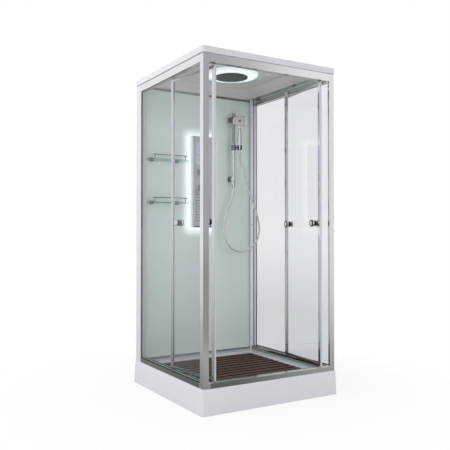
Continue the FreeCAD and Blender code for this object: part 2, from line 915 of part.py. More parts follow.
def leaf_frame():
    rear = stile(leaf_bottom_z, leaf_top_z)
    front = rear.mirror(Vector(pivot_span / 2, 0, 0), Vector(1, 0, 0))
    inner = stile_width - stile_overhang
    wide = pane_thickness / 2 + flat_gap
    bars = []
    for z0, z1 in (
        (leaf_bottom_z, leaf_bottom_z + leaf_bar_height), (leaf_top_z - leaf_bar_height, leaf_top_z)
    ):
        bar = box(inner, pivot_span - inner, -leaf_bar_depth / 2, leaf_bar_depth / 2, z0, z1)
        groove = box(0, pivot_span, -wide, wide, leaf_glass_bottom - flat_gap, leaf_glass_top + flat_gap)
        bars.append(bar.cut(groove))
    body = rear.fuse([front] + bars)
    for x in (0, pivot_span):
        pin_foot = Vector(x, 0, leaf_bottom_z - guide_pin_reach)
        body = body.fuse(flat_bar(pin_foot, Vector(x, 0, leaf_bottom_z), guide_pin_r, bar_side_count))
        bore = upright(x, 0, leaf_top_z - pivot_pin_reach, leaf_top_z + overrun, pivot_pin_r + running_gap)
        body = body.cut(bore)
    return body


def leaf_glass():
    inner = stile_width - stile_overhang - stile_groove + flat_gap
    half = pane_thickness / 2
    glass = box(inner, pivot_span - inner, -half, half, leaf_glass_bottom, leaf_glass_top)
    for x in (knob_inset, pivot_span - knob_inset):
        glass = glass.cut(
            flat_bar(Vector(x, -overrun, knob_z), Vector(x, overrun, knob_z), knob_hole_r, bar_side_count)
        )
    return glass


def leaf_seals():
    half = seal_width / 2
    rear = box(
        -stile_overhang - seal_thickness, -stile_overhang, -half, half, leaf_bottom_z, leaf_top_z,
    )
    return [rear, rear.mirror(Vector(pivot_span / 2, 0, 0), Vector(1, 0, 0))]


def leaf_knobs():
    half = pane_thickness / 2
    disc_end = knob_stem + knob_disc
    inner = [(knob_foot_r, 0), (knob_stem_r, knob_waist), (knob_disc_r - knob_edge, knob_stem)]
    inner += [
        (knob_disc_r, knob_stem + knob_edge), (knob_disc_r, disc_end - knob_edge),
        (knob_disc_r - knob_edge, disc_end)
    ]
    outer = [(knob_outer_cap_r, 0), (knob_outer_cap_r - knob_edge / 2, knob_outer_cap)]
    solids = []
    for x in (knob_inset, pivot_span - knob_inset):
        body = flat_turned(inner, Vector(x, half, knob_z), Vector(0, 1, 0), knob_side_count)
        cap = flat_turned(outer, Vector(x, -half, knob_z), Vector(0, -1, 0), pad_side_count)
        bolt = flat_bar(Vector(x, -half, knob_z), Vector(x, half, knob_z), knob_bolt_r, nut_side_count)
        solids.append(body.fuse([cap, bolt]))
    return solids


def hung_at_rest(shape):
    placed = shape.copy()
    placed.rotate(Vector(0, 0, 0), up, rest_angle - 90)
    placed.translate(Vector(-track, rear_pivot_y, 0))
    return placed


def door_leaves():
    pieces = {
        "door_frame": [leaf_frame()],
        "door_glass": [leaf_glass()],
        "door_seals": leaf_seals(),
        "door_knobs": leaf_knobs(),
    }
    for name, shapes in pieces.items():
        left = [hung_at_rest(s) for s in shapes]
        save(name + "_left", *left)
        save(name + "_right", *[mirrored(s) for s in left])


# Carriages, drawn at the origin for a track along Y with the cabin towards +X
def carriage():
    plate_x = -frame_half + track_width + wheel_side_gap / 2 + track
    foot_top = top_rail_z - foot_plate_gap
    foot_bottom = leaf_top_z + foot_plate_gap / 2
    half = plate_width / 2
    plate = box(plate_x, plate_x + plate_thickness, -half, half, foot_bottom, plate_top_z)
    corners = [e for e in plate.Edges if e.BoundBox.XLength > flat_gap and e.BoundBox.ZMin > wheel_z]
    plate = plate.makeChamfer(plate_thickness, corners)
    reach = foot_plate_width / 2
    foot = box(-reach / 2, plate_x + plate_thickness, -reach, reach, foot_bottom, foot_top)
    pin_foot = Vector(0, 0, leaf_top_z - pivot_pin_reach + foot_plate_gap)
    pin = flat_bar(pin_foot, Vector(0, 0, foot_top), pivot_pin_r, bar_side_count)
    body = plate.fuse([foot, pin])
    for y in (-wheel_spacing / 2, wheel_spacing / 2):
        end = wheel_centre_x() - wheel_width / 2 - curve_gap
        axle = flat_bar(
            Vector(plate_x, y, wheel_z), Vector(end - axle_head, y, wheel_z), axle_r, bar_side_count
        )
        body = body.fuse(axle)
    return body


def wheel_centre_x():
    return -wheel_offset


def wheel():
    start = Vector(wheel_centre_x() - wheel_width / 2, 0, wheel_z)
    end = start + Vector(wheel_width, 0, 0)
    bore_r = (axle_r + running_gap) / math.cos(math.pi / bar_side_count)
    return rod(start, end, wheel_r).cut(flat_bar(start, end, bore_r, bar_side_count))


def carriages():
    body = carriage()
    for end in ("rear", "front"):
        for i, y in enumerate((-wheel_spacing / 2, wheel_spacing / 2)):
            roller = wheel()
            roller.translate(Vector(0, y, 0))
            left = on_track(roller, end)
            save("wheel_%s_%d_left" % (end, i + 1), left)
            save("wheel_%s_%d_right" % (end, i + 1), mirrored(left))
        left = on_track(body, end)
        save("carriage_%s_left" % end, left)
        save("carriage_%s_right" % end, mirrored(left))


def on_track(shape, end):
    placed = shape.copy()
    if end == "rear":
        placed.translate(Vector(-track, rear_pivot_y, 0))
    else:
        placed.rotate(Vector(0, 0, 0), up, 90)
        placed.translate(Vector(front_pivot_x, -track, 0))
    return placed


# Roof, lit disc, rain head and speaker
def roof_shell():
    seat = roof_seat_z
    rim = box(-roof_half, roof_half, -roof_half, roof_half, seat, roof_rim_z)
    rim = rim.makeFillet(roof_corner_r, [e for e in rim.Edges if e.BoundBox.ZLength > roof_sheet])
    edge = [e for e in rim.Edges if e.BoundBox.ZMin > roof_rim_z - flat_gap]
    rim = rim.makeChamfer(roof_sheet / 2, edge)
    inset = roof_half - roof_sheet
    cut = inset - roof_well_step
    well = box(-inset, inset, -cut, cut, seat + roof_sheet, roof_rim_z - roof_sheet)
    well = well.fuse(box(-cut, cut, -inset, inset, seat + roof_sheet, roof_rim_z - roof_sheet))
    lip = inset - roof_lip_return
    mouth = box(-lip, lip, -lip, lip, seat + roof_sheet, total_height + overrun)
    tub = rim.cut(well).cut(mouth)
    body = tub.fuse(dome(roof_sheet, roof_sheet)).cut(dome(0, 0))
    places = [
        (0, 0, rain_neck_r + neck_gap, pad_side_count),
        (mixer_x, pipe_y, pipe_r + pipe_hole_gap, pad_side_count)
    ]
    x, y = dome_flat_half * speaker_side_share, -dome_flat_half * speaker_front_share
    places.append((x, y, speaker_body_r + neck_gap, knob_side_count))
    for x, y, radius, side_count in places:
        hole = flat_bar(Vector(x, y, seat - overrun), Vector(x, y, total_height), radius, side_count)
        body = body.cut(hole)
    save("roof_shell", body.removeSplitter())


def dome(grow, rise):
    foot, flat = dome_foot_half + grow, dome_flat_half + grow
    radius = dome_corner_r + grow
    return ringed(
        [soft_square(foot, foot, radius, roof_seat_z), soft_square(flat, flat, radius, ceiling_z + rise)]
    )


def light_disc():
    z0 = ceiling_z - light_thickness
    profile = [(light_r - light_edge, z0), (light_r, z0 + light_edge), (light_r, ceiling_z)]
    body = flat_turned(profile, Vector(0, 0, 0), up, disc_side_count)
    hole = flat_bar(
        Vector(0, 0, z0 - overrun), Vector(0, 0, total_height), rain_neck_r + neck_gap, pad_side_count
    )
    save("light_disc", body.cut(hole))


def rain_head():
    z0 = head_z - rain_thickness
    profile = [(rain_r - rain_edge, z0), (rain_r, z0 + rain_edge), (rain_r, head_z)]
    body = flat_turned(profile, Vector(0, 0, 0), up, disc_side_count)
    neck = flat_bar(Vector(0, 0, z0), Vector(0, 0, total_height), rain_neck_r, bar_side_count)
    side = neck_block_side / 2
    block = box(-side, side, -side, side, roof_top_z, total_height)
    save("rain_head", body.fuse([neck, block]))


def ceiling_speaker():
    z0 = ceiling_z - speaker_grille
    edge = speaker_grille / 2
    rim = [(speaker_r - speaker_grille, z0), (speaker_r, ceiling_z - edge), (speaker_r, ceiling_z)]
    body = flat_turned(rim, Vector(0, 0, 0), up, knob_side_count)
    top = Vector(0, 0, ceiling_z + speaker_body_height)
    body = body.fuse(flat_bar(Vector(0, 0, z0 + edge), top, speaker_body_r, knob_side_count))
    pitch = 2 * speaker_body_r / (speaker_slot_count + 1)
    for i in range(speaker_slot_count):
        y = (i - (speaker_slot_count - 1) / 2) * pitch
        reach = math.sqrt((speaker_body_r - pitch / 2) ** 2 - y ** 2)
        wide = speaker_slot_width / 2
        body = body.cut(box(-reach, reach, y - wide, y + wide, z0 - overrun, z0 + edge))
    body.translate(Vector(dome_flat_half * speaker_side_share, -dome_flat_half * speaker_front_share, 0))
    save("ceiling_speaker", body)


# Control column
def column_housing():
    outer = column_block(column_half, column_bottom_z, column_top_z, column_face_y, column_edge)
    wall = column_wall
    inner = box(
        -column_half + wall, column_half - wall, column_face_y + wall, column_back_y + overrun,
        column_bottom_z + wall, column_top_z - wall,
    )
    body = outer.cut(inner)
    for z in (temperature_z, diverter_z):
        hole_r = cartridge_r + flat_gap
        body = body.cut(
            flat_bar(Vector(mixer_x, 0, z), Vector(mixer_x, column_back_y, z), hole_r, pad_side_count)
        )
    half = window_width / 2 + flat_gap
    low = window_centre_z - window_height / 2 - flat_gap
    high = window_centre_z + window_height / 2 + flat_gap
    body = body.cut(box(-half, half, 0, column_face_y + window_recess, low, high))
    lip = window_lip
    body = body.cut(box(-half + lip, half - lip, 0, column_back_y, low + lip, high - lip))
    save("column_housing", body)


def column_block(half, z0, z1, face_y, edge):
    block = box(-half, half, face_y, column_back_y, z0, z1)
    front = [e for e in block.Edges if e.BoundBox.YMax < face_y + flat_gap]
    return block.makeChamfer(edge, front)


def column_glow():
    half = column_half - glow_inset
    z0, z1 = column_bottom_z + glow_inset, column_top_z - glow_inset
    outer = box(-half, half, column_back_y, panel_face_y, z0, z1)
    w = glow_width
    inner = box(-half + w, half - w, column_back_y - overrun, panel_face_y + overrun, z0 + w, z1 - w)
    save("column_glow", outer.cut(inner))


def display_window():
    half = window_width / 2
    z0 = window_centre_z - window_height / 2
    back = column_face_y + window_recess
    window = box(-half, half, back - window_thickness, back, z0, z0 + window_height)
    front = [e for e in window.Edges if e.BoundBox.YMax < back - window_recess]
    save("display_window", window.makeChamfer(window_edge, front))


def body_jets():
    solids = []
    for x in (-jet_outer_x, -jet_inner_x, jet_inner_x, jet_outer_x):
        for row in range(jet_rows):
            z = column_bottom_z + jet_rise + row * jet_pitch
            jet = box(
                x - jet_width / 2, x + jet_width / 2, column_face_y - jet_stand, column_face_y,
                z - jet_height / 2, z + jet_height / 2,
            )
            solids.append(jet)
    save("body_jets", *solids)


def waterfall_spout():
    half = spout_width / 2
    face = column_face_y
    top = column_bottom_z + spout_rise
    low = top - spout_thickness
    points = [
        Vector(-half, face, top), Vector(-half, face - spout_depth, low + spout_lip),
        Vector(-half, face - spout_depth, low), Vector(-half, face, low),
    ]
    body = face_of(points).extrude(Vector(spout_width, 0, 0))
    save("waterfall_spout", body)


def column_mixer():
    foot = Vector(mixer_x, mixer_y, mixer_bottom_z)
    main = flat_bar(foot, Vector(mixer_x, mixer_y, mixer_top_z), mixer_r, bar_side_count)
    reach = inlet_spacing / 2 + inlet_length / 2
    ends = [Vector(x, mixer_y, mixer_bottom_z) for x in (-reach, reach)]
    cross = flat_bar(ends[0], ends[1], mixer_r, bar_side_count)
    body = main.fuse(cross)
    for x in (-inlet_spacing / 2, inlet_spacing / 2):
        thread_start = Vector(x, inlet_end_y - inlet_thread, mixer_bottom_z)
        neck = flat_bar(Vector(x, mixer_y, mixer_bottom_z), thread_start, inlet_neck_r, pad_side_count)
        body = body.fuse([neck, rod(thread_start, Vector(x, inlet_end_y, mixer_bottom_z), inlet_r)])
    for z in (temperature_z, diverter_z):
        start = Vector(mixer_x, mixer_y, z)
        body = body.fuse(flat_bar(start, Vector(mixer_x, column_face_y, z), cartridge_r, pad_side_count))
        end = column_face_y - knob_face_gap - column_knob_body
        body = body.fuse(flat_bar(start, Vector(mixer_x, end, z), spindle_r, pad_side_count))
    save("column_mixer", body)


def knob_body():
    # A flat-sided knob whose round bore runs on the spindle, drawn along -Y from the origin
    depth = column_knob_base + column_knob_body
    edge = column_knob_edge
    way = Vector(0, -1, 0)
    profile = [
        (column_knob_base_r, 0), (column_knob_base_r, column_knob_base - edge),
        (column_knob_body_r, column_knob_base)
    ]
    profile += [(column_knob_body_r, depth - edge), (column_knob_body_r - edge, depth)]
    body = flat_turned(profile, Vector(0, 0, 0), way, knob_side_count)
    return body.cut(rod(Vector(0, 0, 0), way * (column_knob_body + curve_gap), spindle_r + running_gap))


def temperature_knob():
    body = knob_body()
    y = -(column_knob_base + column_knob_body) / 2
    for i in range(lobe_count):
        angle = 2 * math.pi * (i + 1 / 2) / lobe_count
        way = Vector(math.cos(angle), 0, math.sin(angle))
        start = way * (column_knob_body_r - lobe_r) + Vector(0, y, 0)
        end = way * (column_knob_body_r + lobe_reach - lobe_r * 2) + Vector(0, y, 0)
        root = flat_section(start, way, lobe_root_r, nut_side_count)
        body = body.fuse(ringed([root, flat_section(end, way, lobe_r, nut_side_count)]))
    body.translate(Vector(mixer_x, column_face_y - knob_face_gap, temperature_z))
    save("temperature_knob", body)


def diverter_knob():
    body = knob_body()
    angle = math.radians(ring_angle)
    way = Vector(math.cos(angle), 0, math.sin(angle))
    y = -(column_knob_base + column_knob_body) / 2
    centre = way * ring_offset + Vector(0, y, 0)
    front, back = centre - Vector(0, ring_bar_r, 0), centre + Vector(0, ring_bar_r, 0)
    ring = flat_bar(front, back, ring_r + ring_bar_r, knob_side_count)
    ring = ring.cut(flat_bar(front, back, ring_r - ring_bar_r, knob_side_count))
    start = way * (column_knob_body_r - ring_arm_r) + Vector(0, y, 0)
    arm = flat_bar(start, way * (ring_offset - ring_r) + Vector(0, y, 0), ring_arm_r, bar_side_count)
    body = body.fuse([arm, ring])
    body.translate(Vector(mixer_x, column_face_y - knob_face_gap, diverter_z))
    save("diverter_knob", body)


def supply_pipes():
    rain = [
        Vector(mixer_x, mixer_y, mixer_top_z), Vector(mixer_x, mixer_y, pipe_turn_z),
        Vector(mixer_x, pipe_y, pipe_turn_z), Vector(mixer_x, pipe_y, pipe_over_z),
        Vector(0, pipe_run_in, pipe_over_z), Vector(0, neck_block_side / 2, pipe_over_z),
    ]
    feed = [
        Vector(mixer_x + mixer_r, mixer_y, outlet_z), Vector(feed_x, mixer_y, outlet_z),
        Vector(feed_x, pipe_y, outlet_z), Vector(riser_x - nipple_block / 2, pipe_y, outlet_z),
    ]
    solids = []
    for points in (rain, feed):
        radii = [pipe_bend_r] * (len(points) - 2)
        solids.append(bent_tube(points, pipe_r, radii, nut_side_count)[0])
    save("supply_pipes", *solids)


# Riser, hand shower and hose
def riser_bar():
    tube = upright(riser_x, riser_y, outlet_top_z, riser_top_z, riser_r)
    cap = [e for e in tube.Edges if e.BoundBox.ZMin > riser_top_z - flat_gap]
    save("riser_bar", tube.makeChamfer(riser_cap_edge, cap))


def riser_bracket():
    half = bracket_width / 2
    tall = bracket_height / 2
    block = box(
        riser_x - half, riser_x + half, riser_y - half, panel_face_y, bracket_z - tall, bracket_z + tall,
    )
    uprights = [e for e in block.Edges if e.BoundBox.ZLength > tall and e.BoundBox.YMax < panel_face_y - half]
    block = block.makeChamfer(bracket_chamfer, uprights)
    save("riser_bracket", block.cut(upright(riser_x, riser_y, bracket_z - tall, bracket_z + tall, riser_r)))


def hose_outlet():
    body = upright(riser_x, riser_y, outlet_bottom_z, outlet_top_z, outlet_r)
    half = bracket_width / 2
    tall = bracket_height / 2
    block = box(riser_x - half, riser_x + half, riser_y, panel_face_y, outlet_z - tall, outlet_z + tall)
    nipple = flat_bar(
        Vector(riser_x, riser_y, outlet_z), Vector(riser_x, pipe_y, outlet_z), nipple_r, bar_side_count
    )
    side = nipple_block / 2
    elbow = box(
        riser_x - side, riser_x + side, pipe_y - side,
        panel_face_y + nipple_reach, outlet_z - side, outlet_z + side
    )
    body = body.fuse([block, nipple, elbow])
    nut_top = Vector(riser_x, riser_y, outlet_bottom_z)
    nut = flat_bar(nut_top - up * nut_height, nut_top, nut_r, nut_side_count)
    save("hose_outlet", body, nut)


def slider():
    z0, z1 = slider_z - slider_height / 2, slider_z + slider_height / 2
    body = flat_bar(Vector(riser_x, riser_y, z0), Vector(riser_x, riser_y, z1), slider_r, knob_side_count)
    start = Vector(riser_x, riser_y, slider_z)
    end = cradle_centre - arm_direction * (cradle_r + arm_gap)
    body = body.fuse([
        flat_bar(start, end, arm_r, pad_side_count),
        rod(start, end + arm_direction * arm_pin_reach, arm_pin_r)
    ])
    body = body.cut(upright(riser_x, riser_y, z0 - overrun, z1 + overrun, riser_r + running_gap))
    save("slider", body)


def cradle():
    x, y = cradle_centre.x, cradle_centre.y
    z0, z1 = slider_z - cradle_height / 2, slider_z + cradle_height / 2
    body = flat_turned([(cradle_foot_r, z0), (cradle_r, z1)], Vector(x, y, 0), up, disc_side_count)
    flat = box(-cradle_r * 2, -cradle_r + arm_gap, -cradle_r, cradle_r, z0 - overrun, z1 + overrun)
    slot = box(0, cradle_r * 2, -cradle_slot / 2, cradle_slot / 2, z0 - overrun, z1 + overrun)
    flat.rotate(Vector(0, 0, 0), up, arm_angle)
    slot.rotate(Vector(0, 0, 0), up, arm_angle - 90)
    for cutter in (flat, slot):
        cutter.translate(Vector(x, y, 0))
        body = body.cut(cutter)
    pin_start = cradle_centre - arm_direction * cradle_r
    pin_end = pin_start + arm_direction * (arm_pin_reach + arm_gap)
    body = body.cut(
        flat_bar(
            pin_start, pin_end,
            (arm_pin_r + running_gap) / math.cos(math.pi / pad_side_count), pad_side_count
        )
    )
    body = body.cut(handle_cone(z0 - cone_overrun, flat_gap))
    save("cradle", body)


def handle_radius(height):
    # The handle's radius at a height above the cradle's middle
    share = (height + cradle_height / 2) / (handle_mid_height + cradle_height / 2)
    return handle_foot_r + (handle_mid_r - handle_foot_r) * share


def handle_cone(z0, grow):
    z1 = slider_z + handle_mid_height
    low = handle_radius(z0 - slider_z) + grow
    high = handle_radius(z1 - slider_z) + grow
    middle = Vector(cradle_centre.x, cradle_centre.y, 0)
    return flat_turned([(low, z0), (high, z1)], middle, up, knob_side_count)


def head_frame(shape):
    # From a frame with the spray towards +Z to the hand shower's head
    placed = shape.copy()
    placed.rotate(Vector(0, 0, 0), Vector(0, 1, 0), 90 + head_tilt)
    placed.rotate(Vector(0, 0, 0), up, arm_angle - 90)
    placed.translate(head_centre())
    return placed


def head_centre():
    return cradle_centre + up * head_height + spray_direction * head_lean


def hand_shower():
    foot_z = slider_z - cradle_height / 2 + nut_cone_length / 2
    grip = handle_cone(foot_z, 0)
    mid_z = slider_z + handle_mid_height
    rings = []
    for lean, rise in zip(neck_lean_shares, neck_height_shares):
        centre = cradle_centre + spray_direction * (head_lean * lean)
        centre.z = mid_z + (handle_length - handle_mid_height) * rise
        radius = handle_mid_r + (handle_neck_r - handle_mid_r) * rise
        rings.append(flat_section(centre, up, radius, pad_side_count))
    half = head_thickness / 2
    profile = [(head_back_r, -half), (head_r, half - head_edge), (head_r, half)]
    head = head_frame(flat_turned(profile, Vector(0, 0, 0), up, disc_side_count))
    neck_top = cradle_centre + spray_direction * (head_lean * neck_lean_shares[-1])
    neck_top.z = slider_z + handle_length
    tilt = math.radians(head_tilt)
    head_down = spray_direction * -math.sin(tilt) - up * math.cos(tilt)
    stem = flat_bar(neck_top, head_centre() + head_down * stem_end, handle_neck_r, bar_side_count)
    body = grip.fuse([ringed(rings), stem, head])
    nut_foot = Vector(cradle_centre.x, cradle_centre.y, foot_z - nut_cone_length)
    nut = flat_turned([(nut_cone_foot_r, 0), (nut_cone_r, nut_cone_length)], nut_foot, up, pad_side_count)
    save("hand_shower", body, nut)


def spray_face():
    half = head_thickness / 2
    edge = face_thickness / 2
    profile = [(face_r, half), (face_r, half + edge), (face_r - edge, half + face_thickness)]
    save("spray_face", head_frame(flat_turned(profile, Vector(0, 0, 0), up, disc_side_count)))


def shower_hose():
    outlet = Vector(riser_x, riser_y, outlet_bottom_z - nut_height)
    points = [outlet + Vector(*p) for p in hose_route]
    radii = []
    for i in range(1, len(points) - 1):
        into, out = points[i] - points[i - 1], points[i + 1] - points[i]
        turn = into.getAngle(out)
        radii.append(hose_bend_share * min(into.Length, out.Length) / math.tan(turn / 2))
    tube, length = bent_tube(points, hose_r, radii, bar_side_count)
    print("hose bend radii", [round(r) for r in radii])
    print(
        "hose length", round(length), "volume", round(tube.Volume),
        "section x length", round(math.pi * hose_r ** 2 * length)
    )
    save("shower_hose", tube)


# Shelves
def shelf_glasses():
    solids = []
    for z in shelf_heights:
        glass = box(shelf_left_x, shelf_right_x, shelf_front_y, panel_face_y, z, z + shelf_thickness)
        front = [
            e for e in glass.Edges
            if e.BoundBox.ZLength > flat_gap and e.BoundBox.YMax < shelf_front_y + flat_gap
        ]
        solids.append(glass.makeFillet(shelf_corner_r, front))
    save("shelf_glasses", *solids)


def shelf_fittings():
    solids = []
    rail_y = shelf_front_y + shelf_rail_inset
    for z in shelf_heights:
        top = z + shelf_thickness
        rail_z = top + shelf_rail_rise
        ends = (shelf_post_xs[0] - shelf_rail_rise / 2, shelf_post_xs[1] + shelf_rail_rise / 2)
        rail = flat_bar(
            Vector(ends[0], rail_y, rail_z), Vector(ends[1], rail_y, rail_z), shelf_rail_r, bar_side_count
        )
        for x in shelf_post_xs:
            post = flat_bar(Vector(x, rail_y, top), Vector(x, rail_y, rail_z), shelf_rail_r, bar_side_count)
            rail = rail.fuse(post)
        solids.append(rail)
        for x in shelf_bracket_xs:
            solids.append(shelf_bracket(x, z))
    save("shelf_fittings", *solids)


def shelf_bracket(x, z):
    half = shelf_bracket_width / 2
    low = z - (shelf_bracket_height - shelf_thickness) / 2
    block = box(
        x - half, x + half, panel_face_y - shelf_bracket_reach, panel_face_y, low, low + shelf_bracket_height
    )
    front = [e for e in block.Edges if e.BoundBox.YMax < panel_face_y - shelf_bracket_reach + flat_gap]
    block = block.makeChamfer(shelf_plate, front)
    return block.cut(box(x - half - overrun, x + half + overrun, 0, panel_face_y, z, z + shelf_thickness))


def main():
    os.makedirs("parts", exist_ok=True)
    tray()
    floor_slats()
    floor_bars()
    levelling_feet()
    waste()
    front_posts()
    back_posts()
    post_screws()
    bottom_rails()
    top_rails()
    corner_blocks()
    corner_pins()
    side_panes()
    glazing_beads()
    back_panel()
    door_leaves()
    carriages()
    roof_shell()
    light_disc()
    rain_head()
    ceiling_speaker()
    column_housing()
    column_glow()
    display_window()
    body_jets()
    waterfall_spout()
    column_mixer()
    temperature_knob()
    diverter_knob()
    supply_pipes()
    riser_bar()
    riser_bracket()
    hose_outlet()
    slider()
    cradle()
    hand_shower()
    spray_face()
    shower_hose()
    shelf_glasses()
    shelf_fittings()


main()
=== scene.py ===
# %% [markdown]
# # A shower cabin, dressed for its photograph
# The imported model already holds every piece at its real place, and it is never moved here. What this lesson
# adds is what a CAD model leaves out: the finish of each surface, rounder forms where flat facets would
# show, and the small parts that catch the eye, such as spray nozzles, screw slots and rubber seals. The work
# goes from the camera, over the finishes, to the new pieces, and each cell prints what it made.

# %% Load the model and note its size
import json
import math
import bpy
from mathutils import Matrix, Vector


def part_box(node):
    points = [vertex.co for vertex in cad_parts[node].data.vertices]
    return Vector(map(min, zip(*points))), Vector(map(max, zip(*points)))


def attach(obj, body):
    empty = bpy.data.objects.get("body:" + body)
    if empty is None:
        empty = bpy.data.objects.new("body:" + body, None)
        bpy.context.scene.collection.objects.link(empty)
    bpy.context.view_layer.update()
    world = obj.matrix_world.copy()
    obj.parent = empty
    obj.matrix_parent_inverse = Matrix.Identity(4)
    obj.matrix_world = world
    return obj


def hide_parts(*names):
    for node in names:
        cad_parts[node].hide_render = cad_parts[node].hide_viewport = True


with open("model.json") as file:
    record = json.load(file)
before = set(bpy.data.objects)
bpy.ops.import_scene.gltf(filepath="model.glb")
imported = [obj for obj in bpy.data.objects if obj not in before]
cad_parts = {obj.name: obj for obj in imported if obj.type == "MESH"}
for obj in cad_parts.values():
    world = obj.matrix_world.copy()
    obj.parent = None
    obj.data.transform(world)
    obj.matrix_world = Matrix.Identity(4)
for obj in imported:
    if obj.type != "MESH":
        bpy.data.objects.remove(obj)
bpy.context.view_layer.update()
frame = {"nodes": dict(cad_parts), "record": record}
nodes = frame["nodes"]

# %% [markdown]
# ## The camera
# A product picture is taken from far enough away that upright edges stay upright. This camera stands in
# front of the cabin's left corner at about half its height, and its lens was worked out from the tray's and
# the roof's edges. Turning it by angles, and not by a constraint, keeps the horizon level.

# %% The camera
camera_place = (-2.177, -3.548, 1.031)
camera_turn = 30.949
camera_rise = 0.936
lens_mm = 49.0
sensor_mm = 36.0

camera_data = bpy.data.cameras.new("camera")
camera_data.lens = lens_mm
camera_data.sensor_width = sensor_mm
camera = bpy.data.objects.new("camera", camera_data)
camera.location = camera_place
camera.rotation_euler = (math.radians(90 + camera_rise), 0, math.radians(-camera_turn))
bpy.context.scene.collection.objects.link(camera)
bpy.context.scene.camera = camera
bpy.context.scene.view_settings.view_transform = "Standard"
print("camera looks", camera_turn, "degrees to the right of straight ahead")

# %% [markdown]
# ## Maths on shader sockets
# A finish is mostly small sums: a grain times a strength, plus a base. Node by node that is long to read, so
# one small class wraps a socket and lets Python's operators add the Math nodes. Everything else comes from
# one method that takes a node's type, what goes into its sockets and its settings.

# %% A socket that can be added and multiplied
class Wire:
    def __init__(self, finish, socket):
        self.finish = finish
        self.socket = socket

    def maths(self, operation, first, second):
        return self.finish.node("Math", {0: first, 1: second}, operation=operation)

    def __add__(self, other):
        return self.maths("ADD", self, other)

    __radd__ = __add__

    def __sub__(self, other):
        return self.maths("SUBTRACT", self, other)

    def __rsub__(self, other):
        return self.maths("SUBTRACT", other, self)

    def __mul__(self, other):
        return self.maths("MULTIPLY", self, other)

    def __truediv__(self, other):
        return self.maths("DIVIDE", self, other)

    def __pow__(self, other):
        return self.maths("POWER", self, other)

    def or_more(self, other):
        return self.maths("MAXIMUM", self, other)


# %% A finish is a material with one way to add nodes, and it is kept by its name
finishes = {}


class Finish:
    def __init__(self, name, colour, roughness, metallic=0.0, **sockets):
        finishes[name] = bpy.data.materials.new(name)
        finishes[name].use_nodes = True
        self.tree = finishes[name].node_tree
        self.shader = self.tree.nodes["Principled BSDF"]
        constants = {"Base_Color": (*colour, 1), "Roughness": roughness, "Metallic": metallic, **sockets}
        for socket, value in constants.items():
            self.shader.inputs[socket.replace("_", " ")].default_value = value

    def node(self, kind, inputs=None, output=0, **settings):
        made = self.tree.nodes.new("ShaderNode" + kind)
        for name, value in settings.items():
            setattr(made, name, value)
        for name, value in (inputs or {}).items():
            self.put(made.inputs[name], value)
        return Wire(self, made.outputs[output])

    def put(self, socket, value):
        if isinstance(value, Wire):
            self.tree.links.new(value.socket, socket)
        else:
            socket.default_value = value

    def feed(self, socket, value):
        self.put(self.shader.inputs[socket], value)

    def vector(self, operation, first, second=(0, 0, 0), output="Vector"):
        return self.node("VectorMath", {0: first, 1: second}, output, operation=operation)

    def place(self, scale=(1, 1, 1)):
        where = self.node("TexCoord", output="Object")
        return self.node("Mapping", {"Vector": where, "Scale": scale})

    def axis(self, letter, where=None):
        return self.node("SeparateXYZ", {0: where or self.place()}, letter)

    def noise(self, scale, stretch=(1, 1, 1), detail=3.0):
        return self.node("TexNoise", {"Vector": self.place(stretch), "Scale": scale, "Detail": detail})

    def ramp(self, value, low, high, at_low=0.0, at_high=1.0, kind="LINEAR"):
        """Goes from one level to another while the value goes from low to high."""
        span = {"Value": value, "From Min": low, "From Max": high, "To Min": at_low, "To Max": at_high}
        return self.node("MapRange", span, interpolation_type=kind)

    def stepped(self, value, edge):
        """Goes from 0 to 1 where the value passes an edge."""
        blur = 0.0004
        return self.ramp(value, edge - blur, edge + blur)

    def mix(self, amount, first, second):
        return self.node("Mix", {0: amount, 6: tint(first), 7: tint(second)}, 2, data_type="RGBA")

    def clouded(self, cloud, colour, darkest):
        """The colour, dimmed a little where the cloud is thin."""
        return self.mix(cloud, [c * darkest for c in colour], colour)

    def bump(self, height, strength, distance):
        bumped = self.node("Bump", {"Height": height, "Strength": strength, "Distance": distance})
        self.feed("Normal", bumped)

    def ray(self, kind):
        return self.node("LightPath", output="Is " + kind + " Ray")

    def blend(self, share, first, second):
        return self.node("MixShader", {0: share, 1: first, 2: second})

    def show(self, surface):
        self.put(self.tree.nodes["Material Output"].inputs["Surface"], surface)


def tint(colour):
    return colour if isinstance(colour, Wire) else (*colour, 1)


def swing(noise, width):
    """A noise lies between 0 and 1. This moves it about 0, by the width in all."""
    return (noise - 0.5) * width


print("finish maker ready")

# %% [markdown]
# ## The hose
# A shower hose leaves its outlet straight down, makes a slack loop under its own weight and comes up to the
# hand shower. It is one NURBS curve with a round bevel: the curve passes smoothly near a few control points,
# which is how a hose bends, while a chain of arcs would look like bent wire. A tube's radius is the bevel's
# depth times the point's radius. The depth is 1, so each point holds the real radius, and the curve's box
# ends at the hose's skin.

# %% The hose's route and its curve
hose_thickness = 0.014
hose_points = [
    (0.263, 0.395, 1.390), (0.263, 0.395, 1.338), (0.236, 0.390, 1.276), (0.208, 0.386, 1.216),
    (0.183, 0.381, 1.152), (0.168, 0.376, 1.086), (0.168, 0.371, 1.022), (0.188, 0.365, 0.964),
    (0.232, 0.357, 0.922), (0.292, 0.348, 0.902), (0.354, 0.338, 0.915), (0.406, 0.329, 0.953),
    (0.437, 0.321, 1.010), (0.445, 0.315, 1.074), (0.432, 0.312, 1.144), (0.409, 0.313, 1.214),
    (0.384, 0.317, 1.282), (0.360, 0.323, 1.350), (0.339, 0.330, 1.418), (0.323, 0.338, 1.484),
    (0.311, 0.350, 1.548), (0.303, 0.372, 1.606), (0.303, 0.372, 1.661),
]
hose_curve = bpy.data.curves.new("hose", "CURVE")
hose_curve.dimensions = "3D"
hose_curve.bevel_depth = 1.0
hose_curve.bevel_resolution = 4
